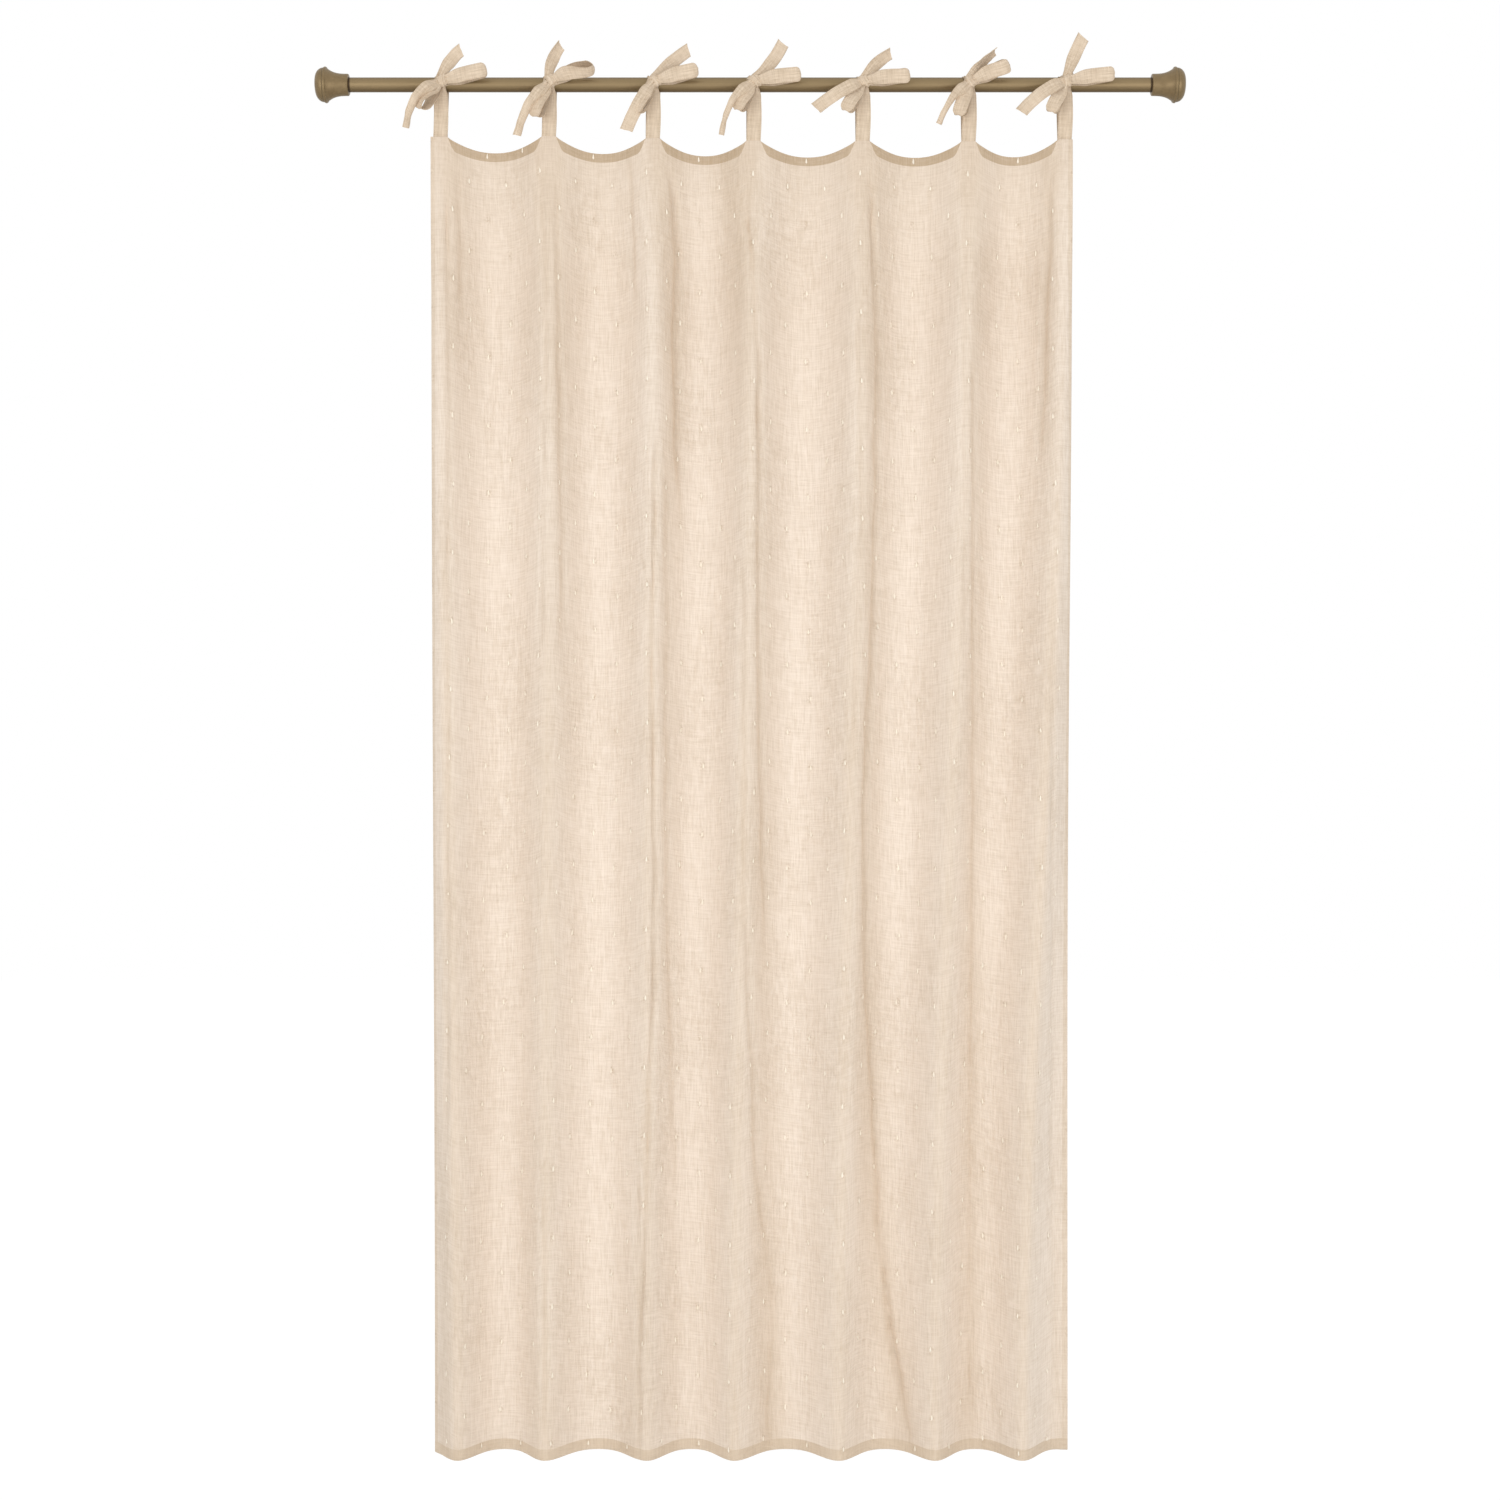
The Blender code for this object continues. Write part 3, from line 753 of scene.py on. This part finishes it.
sheer_tint = tone(*sheer_light)
matt = {"Sheen_Weight": 0.05, "Sheen_Roughness": 0.6}
sheer = Finish(
    "Sheer slub cloth", Roughness=0.92, Specular_IOR_Level=0.04, Sheen_Tint=sheer_tint, **matt
)
u, v = sheer.uv_axes("Cloth")
band_shade, crease_shade = sheer.uv_axes("Painted_shade")
across, down = sheer.uv_axes("Edges")
slub, yarn = slub_weave(sheer, u, v)
creased = crinkle(sheer, u, v)
ripple = sheer.speckle(u * 60, v * 190, 17.0, detail=2.0, distortion=0.4)
rippled = sheer.speckle(u * 7, v * 5, 40.0, detail=1.0).between(0.45, 0.65)
ripple = (ripple - 0.5) * (rippled * 0.8 + 0.2)
pucker = dash_pucker(sheer, u, v)
pucker_knot = (sheer.speckle(u * 330, v * 260, 23.0, detail=1.0) - 0.42) * pucker
stain = sheer.speckle(u * 6, v * 2.4, 20.0, detail=3.0)
# Painted shade: the fold bands and fold fronts, darker along the creases and over the top edge and
# upper part of the panel; stain adds a random tone and varies the bands.
shade = band_shade * (0.60 + stain * 0.3) + stain * 0.15 - 0.05 + crease_shade * 0.32
shade = shade + (1 - down.between(0.0, top_shade_end)) * 0.30
shade = shade + (1 - down.between(upper_shade_start, upper_shade_end)) * 0.32
shade = shade.maths("MINIMUM", 1.7)
ground = sheer.mix(shade, sheer_tint, tone(*sheer_fold_shade))
side = (flat_width / 2 - abs(across - flat_width / 2)).between(side_hem - hem_edge, side_hem)
bottom = down.between(hem_line - hem_edge, hem_line)
top = 1 - down.between(facing_end - hem_edge, facing_end)
doubled = (0.55 - side * 0.55).maths("MAXIMUM", bottom).maths("MAXIMUM", top)
ground = sheer.mix(doubled * 0.9, ground, tone(*sheer_doubled))
# Painted shade: the crinkles, ripples and dash puckers are drawn darker or lighter in the colour as
# well as in the bump.
thread = 0.16 - (slub - 0.5) * 1.38 - (yarn - 0.5) * 0.30 + creased * 0.14 - ripple * 0.25
thread = thread + pucker_knot * 1.5 + doubled * (0.55 - stain) * 0.35 + top * 0.62
ground = sheer.mix(thread, ground, tone(*sheer_thread))
sheer.paint("Base Color", ground)
weave_normal = sheer.relief(yarn * 0.3 + slub * 0.7, 0.0012, 0.45)
folds_normal = creased + stain * 0.5 + ripple * 0.9 + pucker_knot * 0.9
sheer.paint("Normal", sheer.relief(folds_normal, 0.0026, 0.27, weave_normal))
panel.data.materials.append(sheer.made)
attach(panel, "root")
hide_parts("curtain_panel")


# The woven dashes: short floats of thick cream yarn, clipped off in the weave, in rows across the
# whole panel with every second row set over by half a space. The rows sink a little between ties.
dash_length = 0.0084
dash_width = 0.0030
dash_lift = 0.0014
dash_clear = 0.0001
dash_lowest = 0.0090
dash_cream = (252, 245, 231)
dash_shade = (240, 226, 203)
dash_turns = (0, 60, 120, 180, 240, 300)
# The outline of a float, from its top to its bottom: where along it, and how much of its width.
dash_rings = ((0.50, 0.10), (0.30, 0.52), (0.06, 0.80), (-0.20, 1.00), (-0.38, 0.72), (-0.50, 0.12))


def dash_shape(seed):
    """The points of one float about its middle: a pointed top and a fuller lower half."""
    wide = 1 + 0.25 * waver(seed * 3.1, 0.5, 2.0)
    long = 1 + 0.22 * waver(seed * 1.7, 4.5, 8.0)
    lean = 0.12 * waver(seed * 2.3, 7.5, 1.0)
    points = []
    for along, swell in dash_rings:
        for turn in dash_turns:
            angle = radians(turn)
            side = dash_width / 2 * wide * swell * cos(angle) + lean * along * dash_length
            out = dash_lift / 2 * swell * sin(angle)
            points.append((side, dash_length * long * along, out))
    return points


dash_points, dash_faces = [], []
dash_rows = int((panel_drop - dash_first_row - bottom_hem / 2) / dash_row_gap) + 1
for row in range(-1, dash_rows):
    for column in range(dashes_across):
        seed = row * dashes_across + column
        wander = 0.004 * waver(seed * 0.9, 3.3, 5.1)
        half_space = 0.5 if row % 2 else 0.0
        share = (column + dash_phase + half_space) / dashes_across + wander / flat_width
        if not 0.006 < share < 0.994:
            continue
        down = dash_first_row + row * dash_row_gap
        down += 0.003 * waver(seed * 1.3, 9.3, 0.1)
        level = min(hung.values(), key=lambda other: abs(other.down - down))
        x = level.x_at(share)
        if row < 0:
            down = dash_length * 0.55 * sag_share(x)[1]
            if sag_share(x)[1] < 0.7:
                continue
        down += weft_fall(x, down)
        down = min(down, panel_drop - dash_lowest)
        near = min(hung, key=lambda other: abs(other - down))
        below = down - near
        ahead = -cloth / 2 - dash_clear
        middle = hung[near].point(share, ahead, 0.0, below)
        beside = hung[near].point(share + 0.002, ahead, 0.0, below)
        upper = hung[max([other for other in hung if other < near - 0.003], default=0.0)]
        above = upper.point(share, ahead)
        across = (beside - middle).normalized()
        upward = (above - hung[near].point(share, ahead)).normalized()
        if upward.length < 0.5:
            upward = Vector((0, 0, 1))
        forward = across.cross(upward).normalized()
        first = len(dash_points)
        for side, up, out in dash_shape(seed):
            dash_points.append(middle + across * side + upward * up + forward * out)
        sides, last = len(dash_turns), len(dash_points) - len(dash_turns)
        for ring in range(first, last, sides):
            for corner in range(sides):
                a, b = ring + corner, ring + (corner + 1) % sides
                dash_faces.append((a, b, b + sides, a + sides))
        dash_faces.append(tuple(first + corner for corner in reversed(range(sides))))
        dash_faces.append(tuple(last + corner for corner in range(sides)))
dashes = mesh_piece("woven_dashes", dash_points, dash_faces)
dashes.data.shade_smooth()
float_yarn = Finish("Cream float yarn", Roughness=0.7, Sheen_Weight=0.2)
x, y, z = float_yarn.object_axes()
strand = float_yarn.speckle(x * 3000, y * 3000, z * 260, detail=1.0)
float_yarn.paint(
    "Base Color", float_yarn.mix(strand * 0.7, tone(*dash_cream), tone(*dash_shade))
)
float_yarn.paint("Normal", float_yarn.relief(strand, 0.0002, 0.5))
dashes.data.materials.append(float_yarn.made)
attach(dashes, "root")


# The facing: a narrow strip of the same cloth sewn behind the scalloped edge. It covers the sewn
# ends of the straps and bears on the panel between them.
facing_columns = 260
facing_thread = (196, 174, 147)


def strap_layers(index):
    """The layers of panel in front of a tie's front strap: two where it crosses a side hem."""
    return 2 if index in (0, len(tie_x) - 1) else 1


def facing_stand(x):
    """How far behind the panel the strip lies: behind both straps at a tie, or on the panel."""
    near = min(range(len(tie_x)), key=lambda i: abs(tie_x[i] - x))
    away = abs(tie_x[near] - x) - strap_width / 2
    full = strap_layers(near) + 2
    if x < tie_x[0] or x > tie_x[-1]:
        return full * layer
    return blend(full, 1, ease((away - layer) / 0.006)) * layer


facing_rows = [0.0002] + [facing_height * share for share in (0.25, 0.5, 0.75, 1.0)]
facing_levels = [HungRow(down) for down in facing_rows]


def facing_point(column, row):
    share = column / (facing_columns - 1)
    level = facing_levels[row]
    return level.point(share, facing_stand(level.x_at(share)))


facing = cloth_mesh(
    "top_edge_facing", facing_columns, len(facing_rows), facing_point,
    lambda column, row: (column / (facing_columns - 1) * flat_width, facing_rows[row]),
)
give_thickness(facing, cloth)
facing_cloth = Finish("Facing cloth", Roughness=0.92, Specular_IOR_Level=0.10, **matt)
u, v = facing_cloth.uv_axes("Cloth")
slub, yarn = slub_weave(facing_cloth, u, v)
yarn_shade = (slub - 0.5) * 1.1 + (yarn - 0.5) * 0.35
facing_ground = facing_cloth.mix(0.5 - yarn_shade, tone(*sheer_doubled), tone(*facing_thread))
facing_cloth.paint("Base Color", facing_ground)
facing_cloth.paint("Normal", facing_cloth.relief(yarn * 0.5 + slub * 0.5, 0.00035, 0.5))
facing.data.materials.append(facing_cloth.made)
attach(facing, "root")
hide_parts("top_facing")


# The ties: at each place two straps of folded and stitched cloth, caught between panel and facing.
# The front one rises in front of the rod, makes the right loop and ends as the long lower tail. The
# back one comes over the rod, makes the lower loop and ends as the upper tail.
tail_width = 0.0200
sewn_in = 0.0120
knot_width = 0.0130
knot_clearance = 0.0016
knot_height = 0.0020
knot_aside = 0.0022
knot_bend = 0.0078
bow_spread = 0.0250
front_bulge = 0.0016
hug_radius = rod_radius + 0.0003 + cloth / 2
strap_cloth = 0.0010
fineness = 4
strap_points_across = 11
wrap_points_across = 15
wrap_rows = 25
wrap_width = 0.0165
wrap_reach = 0.0092
wrap_depth = 0.0062
wrap_turn = 112
wrap_length = 0.0350
gather_depth = 0.0008
end_slant = 0.0045
hem_stitch_in = 0.0018
stitch_length = 0.0030
loop_corner = 0.0065
soft_curl = 24
# How the lower tail passes in front of the lower loop: at each share of its length, how far it lies
# ahead, in half openings of the loop, and how much of its twist it has.
tail_over_loop = ((0.22, 2.2, 0.4), (0.5, 2.8, 0.85), (0.75, 1.8, 1.0), (1.0, 0.0, 1.0))
strap_light = (227, 209, 187)
strap_dark = (174, 152, 124)

# A tail's length, its heading at the knot and at its end, its twist, and how far its edges curl
# in; a loop's length, heading, half its opening and its roll. Headings are degrees from +X.
Tail = namedtuple("Tail", "length leaves ends twist curl")
Loop = namedtuple("Loop", "length heading opening roll")
Bow = namedtuple("Bow", "up right low down")
bows = (
    Bow(Tail(0.050, 66, 34, 0, 40), Loop(0.068, 14, 0.0060, 12),
        Loop(0.053, 250, 0.0085, -42), Tail(0.087, 216, 256, 66, 120)),
    Bow(Tail(0.050, 86, 50, 40, 110), Loop(0.066, 27, 0.0095, 70),
        Loop(0.061, 257, 0.0060, -26), Tail(0.093, 230, 252, 52, 150)),
    Bow(Tail(0.065, 42, 32, 15, 50), Loop(0.065, 15, 0.0065, 16),
        Loop(0.056, 250, 0.0045, -30), Tail(0.083, 238, 244, 10, 40)),
    Bow(Tail(0.065, 36, 64, 0, 60), Loop(0.066, 9, 0.0070, 18),
        Loop(0.053, 248, 0.0055, -20), Tail(0.095, 221, 261, 76, 150)),
    Bow(Tail(0.052, 54, 30, 34, 110), Loop(0.064, 8, 0.0075, 22),
        Loop(0.055, 245, 0.0050, -14), Tail(0.082, 207, 213, 0, 25)),
    Bow(Tail(0.053, 52, 42, 76, 90), Loop(0.058, 26, 0.0080, 24),
        Loop(0.058, 257, 0.0050, -16), Tail(0.078, 224, 248, 70, 150)),
    Bow(Tail(0.063, 72, 62, 0, 35), Loop(0.067, 9, 0.0065, 16),
        Loop(0.055, 249, 0.0050, -14), Tail(0.082, 204, 226, 0, 55)),
)


class Strap:
    """A strap as a path of stations: each holds its middle, its width's direction, its width,
    whether it is held, its curl and its tuck."""

    def __init__(self, position, heading, width):
        self.position = Vector(position)
        self.heading = heading
        self.width = width
        self.twist = self.curl = self.tuck = 0.0
        self.side = 1
        self.held = True
        self.stations = []
        self.mark()

    def across(self, heading):
        angle = radians(heading)
        return Vector((-sin(angle), 0, cos(angle))) * self.side

    def mark(self, across=None):
        if across is None:
            twist = radians(self.twist)
            across = self.across(self.heading) * cos(twist)
            across += Vector((0, -1, 0)) * sin(twist)
        self.stations.append(
            (self.position.copy(), across, self.width, self.held, self.curl, self.tuck)
        )

    def straight_to(self, position, width=None, steps=1):
        start, first = self.position.copy(), self.width
        for i in range(1, steps * fineness + 1):
            share = i / (steps * fineness)
            self.position = start.lerp(Vector(position), share)
            if width is not None:
                self.width = blend(first, width, ease(share))
            self.mark()

    def go(self, length, heading, depth, width, twist=0.0, steps=4, curl=0.0):
        """Runs on for this length, turning evenly to the heading and easing to the rest."""
        start = (self.heading, self.position.y, self.width, self.twist, self.curl)
        steps *= fineness
        for i in range(1, steps + 1):
            share = i / steps
            middle = radians(blend(start[0], heading, (i - 0.5) / steps))
            self.position.x += length / steps * cos(middle)
            self.position.z += length / steps * sin(middle)
            self.position.y = blend(start[1], depth, ease(share))
            self.heading = blend(start[0], heading, share)
            self.width = blend(start[2], width, ease(share))
            self.twist = blend(start[3], twist, ease(share))
            self.curl = blend(start[4], curl, ease(share))
            self.mark()

    def over_rod(self, start_angle, end_angle, shift, width, steps=7):
        """Wraps over the rod from behind, moving sideways by shift and closing to width."""
        left, first = self.position.x, self.width
        steps *= fineness
        for i in range(steps + 1):
            share = i / steps
            angle = radians(blend(start_angle, end_angle, share))
            self.position.x = left + shift * ease(share)
            self.position.y = hug_radius * cos(angle)
            self.position.z = hug_radius * sin(angle)
            self.width = blend(first, width, ease(share))
            self.mark()
        self.side = -self.side
        self.heading = 270

    def loop(self, loop, end, full_width, steps=12):
        """Goes out along the loop's heading and comes back in front of itself to the end point."""
        start, narrow = self.position.copy(), self.width
        flat = self.across(loop.heading)
        angle = radians(loop.heading)
        out = Vector((cos(angle), 0, sin(angle)))
        lean = 1.54 * loop.opening
        steps *= fineness
        for i in range(1, steps + 1):
            turn = pi * (2 * i / steps - 0.5)
            reach = (1 + sin(turn)) / 2
            spread = loop.opening * cos(turn) * (1 + sin(turn)) / 1.3
            roll = radians(loop.roll) * ease(1.3 * (reach - 0.1))
            back = Vector((0, 1, 0)) * cos(roll) + flat * sin(roll)
            across = flat * cos(roll) - Vector((0, 1, 0)) * sin(roll)
            base = start.lerp(Vector(end), ease(i / steps))
            base.y -= full_width / 2 * abs(sin(roll))
            self.position = base + out * loop.length * reach + back * (spread - lean * reach)
            self.width = blend(narrow, full_width, ease(reach * loop.length / bow_spread))
            from_tip = loop.length * (1 - reach)
            if from_tip < loop_corner:
                chord = sqrt(loop_corner**2 - (loop_corner - from_tip) ** 2)
                self.tuck = 2 * (loop_corner - chord)
            self.curl = soft_curl * reach
            self.mark(across)
            self.tuck = 0.0
        self.side = -self.side
        self.heading = (loop.heading + 180) % 360


def knot_depth(place):
    """The depth of a layer of the knot, where 1 lies on the rod and each next one lies in front."""
    return -hug_radius - (place - 1) * (cloth + knot_clearance)


def front_strap(index, bow):
    x, sewn = tie_x[index], fold_front + strap_layers(index) * layer
    seam = -tie_rise - tie_drop[index]
    strap = Strap((x, sewn, seam - sewn_in), 90, strap_width)
    strap.straight_to((x, sewn, seam + layer))
    strap.held = False
    turn_from = knot_height - knot_bend
    start, end = Vector((x, sewn, seam + layer)), Vector((x, knot_depth(1), turn_from))
    for i in range(1, 7):
        aside = front_bulge * sin(pi * i / 7)
        strap.straight_to(start.lerp(end, 0.8 * i / 6) + Vector((aside, 0, 0)))
    x += knot_aside
    strap.straight_to((x, knot_depth(1), turn_from), knot_width, steps=2)
    turned = radians(90 - bow.right.heading)
    strap.go(knot_bend * turned, bow.right.heading, knot_depth(1), knot_width, steps=3)
    strap.loop(bow.right, (x + knot_bend / 2, knot_depth(4), knot_height), strap_width)
    strap.go(knot_bend, bow.down.leaves, knot_depth(4), knot_width, steps=1)
    tail, passed = bow.down, 0.0
    for share, ahead, twisted in tail_over_loop:
        strap.go(
            tail.length * (share - passed),
            blend(tail.leaves, tail.ends, share),
            knot_depth(4) - ahead * bow.low.opening,
            tail_width,
            tail.twist * twisted,
            steps=2,
            curl=max(soft_curl * share, tail.curl * twisted),
        )
        passed = share
    return strap


def back_strap(index, bow):
    x, sewn = tie_x[index], fold_front + (strap_layers(index) + 1) * layer
    seam = -tie_rise - tie_drop[index]
    strap = Strap((x, sewn, seam - sewn_in), 90, strap_width)
    strap.straight_to((x, sewn, seam + layer))
    reach = hypot(sewn, seam + layer)
    meets = degrees(atan2(seam + layer, sewn) + acos(hug_radius / reach))
    strap.over_rod(meets, 140, -knot_width / 6, knot_width)
    strap.held = False
    x += knot_aside
    knot = (x - knot_width / 5, knot_depth(2), knot_height + knot_bend)
    strap.straight_to(knot, knot_width)
    strap.go(knot_bend, bow.low.heading, knot_depth(2), knot_width, steps=2)
    strap.loop(bow.low, (x - knot_width / 5, knot_depth(3), knot_height), strap_width)
    strap.go(knot_bend, bow.up.leaves, knot_depth(3), knot_width, steps=2)
    half = bow.up.length / 2
    middle = blend(bow.up.leaves, bow.up.ends, 0.5)
    strap.go(half, middle, knot_depth(3), tail_width, 0.8 * bow.up.twist, 3, 0.4 * bow.up.curl)
    strap.go(half, bow.up.ends, knot_depth(5), tail_width, bow.up.twist, 3, bow.up.curl)
    return strap


def knot_wrap(index, bow):
    """The turn of strap that holds the bow, over the crossing and in behind it at both ends."""
    lies = radians((bow.right.heading + bow.down.leaves - 180) / 2)
    along = Vector((cos(lies), 0, sin(lies)))
    up = Vector((-sin(lies), 0, cos(lies)))
    middle = Vector((tie_x[index] + knot_aside + knot_width / 12, knot_depth(2.4), knot_height))

    def place(column, row):
        share = column / (wrap_points_across - 1) - 0.5
        turn = radians(blend(-wrap_turn, wrap_turn, row / (wrap_rows - 1)))
        fold = 0.0008 * cos(2 * pi * 2.6 * share + index * 1.7 + 0.8 * sin(turn))
        fold -= 0.0014 * (2 * share) ** 2
        lean = along * (0.0025 * sin(turn + index))
        wide = wrap_width * (1 - 0.22 * cos(turn) + 0.1 * sin(index * 2.1 + turn))
        round_it = up * (wrap_reach + fold) * sin(turn)
        round_it -= Vector((0, 1, 0)) * (wrap_depth + fold) * cos(turn)
        return middle + along * wide * share + lean + round_it

    def wrap_uv(column, row):
        return column / (wrap_points_across - 1) * strap_width, row / (wrap_rows - 1) * wrap_length

    return cloth_mesh("knot_wrap", wrap_points_across, wrap_rows, place, wrap_uv)


def softened(stations, passes=3):
    """The same path with its corners eased, where nothing holds the strap in place."""
    for _ in range(passes):
        eased = [stations[0]]
        for before, here, after in zip(stations, stations[1:], stations[2:]):
            middle = here[0] if here[3] else here[0] * 0.5 + (before[0] + after[0]) * 0.25
            across = (here[1] * 0.5 + (before[1] + after[1]) * 0.25).normalized()
            eased.append((middle, across, *here[2:]))
        stations = eased + [stations[-1]]
    return stations


def add_strap(name, strap, node, finish, seed, wrap=None):
    """Makes a strap's cloth along its path and joins its knot's wrap. Returns it and its length."""
    stations = softened(strap.stations)
    run = [0.0]
    for before, here in zip(stations, stations[1:]):
        run.append(run[-1] + (here[0] - before[0]).length)

    def place(column, row):
        middle, across, width, held, curl, tuck = stations[row]
        at_end = row == len(stations) - 1
        before, after = stations[max(row - 1, 0)][0], stations[row if at_end else row + 1][0]
        out = across.cross(after - before)
        out = out.normalized() if out.length > 1e-9 else Vector((0, -1, 0))
        share = column / (strap_points_across - 1) - 0.5
        gathered = 0.0 if held else 1 - width / strap_width
        pleats = gather_depth * gathered * 2.4 * cos(2 * pi * 2.5 * share + seed)
        soft = 0.0 if held else ease((run[row] - 0.09) / 0.03)
        wave = 0.0009 * waver(run[row] * 70, share * 2.5, seed)
        wave += 0.0005 * waver(run[row] * 160, share * 5.0, seed + 3)
        bow_out = 0.0010 * waver(run[row] * 28, 0.0, seed + 5) * (4 * share * share)
        fray = 0.0012 * waver(seed, share * 3, 1)
        aside, lift = (width - tuck) * share, 0.0
        if curl > 1:
            turned = radians(curl)
            radius = (width - tuck) / turned
            aside = radius * sin(turned * share)
            lift = -radius * (1 - cos(turned * share))
        if at_end:
            middle = middle + (after - before).normalized() * (fray + end_slant * share)
        return middle + across * aside + out * (pleats + lift + (wave + bow_out) * soft)

    made = cloth_mesh(
        name, strap_points_across, len(stations), place,
        lambda column, row: ((column / (strap_points_across - 1)) * strap_width, run[row]),
    )
    if wrap is not None:
        pick(made, wrap)
        bpy.ops.object.join()
    give_thickness(made, strap_cloth)
    made.data.materials.append(finish)
    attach(made, "root")
    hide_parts(node)
    return made, run[-1]


strap_finish = Finish("Folded strap cloth", Roughness=0.9, Specular_IOR_Level=0.10, **matt)
u, v = strap_finish.uv_axes("Cloth")
slub, yarn = slub_weave(strap_finish, u, v)
creased = crinkle(strap_finish, u * 2.5, v * 2.5)
from_edge = strap_width / 2 - abs(u - strap_width / 2)
stitch_line = 1 - abs(from_edge - hem_stitch_in).between(0.0002, 0.0005)
stitch = stitch_line * (v * (2 * pi / stitch_length)).maths("SINE").between(-0.5, 0.1)
edge_fold = 1 - from_edge.between(0.0, 0.0012)
# Painted shade: the crinkles are drawn darker in the colour as well as in the bump.
yarn_shade = (slub - 0.5) * 1.7 + (yarn - 0.5) * 0.3 - creased * 0.25 - edge_fold * 0.30
strap_ground = strap_finish.mix(0.30 - yarn_shade, tone(*strap_light), tone(*strap_dark))
strap_finish.paint("Base Color", strap_finish.mix(stitch * 0.5, strap_ground, tone(*strap_dark)))
strap_weave = strap_finish.relief(yarn * 0.5 + slub * 0.5, 0.00035, 0.5)
strap_relief = strap_finish.relief(creased - stitch_line * 0.6, 0.0009, 0.4, strap_weave)
strap_finish.paint("Normal", strap_relief)

for index, bow in enumerate(bows):
    number = index + 1
    for side, path in (("front", front_strap(index, bow)), ("back", back_strap(index, bow))):
        made, length = add_strap(
            f"{side}_strap_{number}",
            path,
            f"tie_{number}_{side}_strap",
            strap_finish.made,
            index * 2.0 + (side == "back"),
            knot_wrap(index, bow) if side == "front" else None,
        )
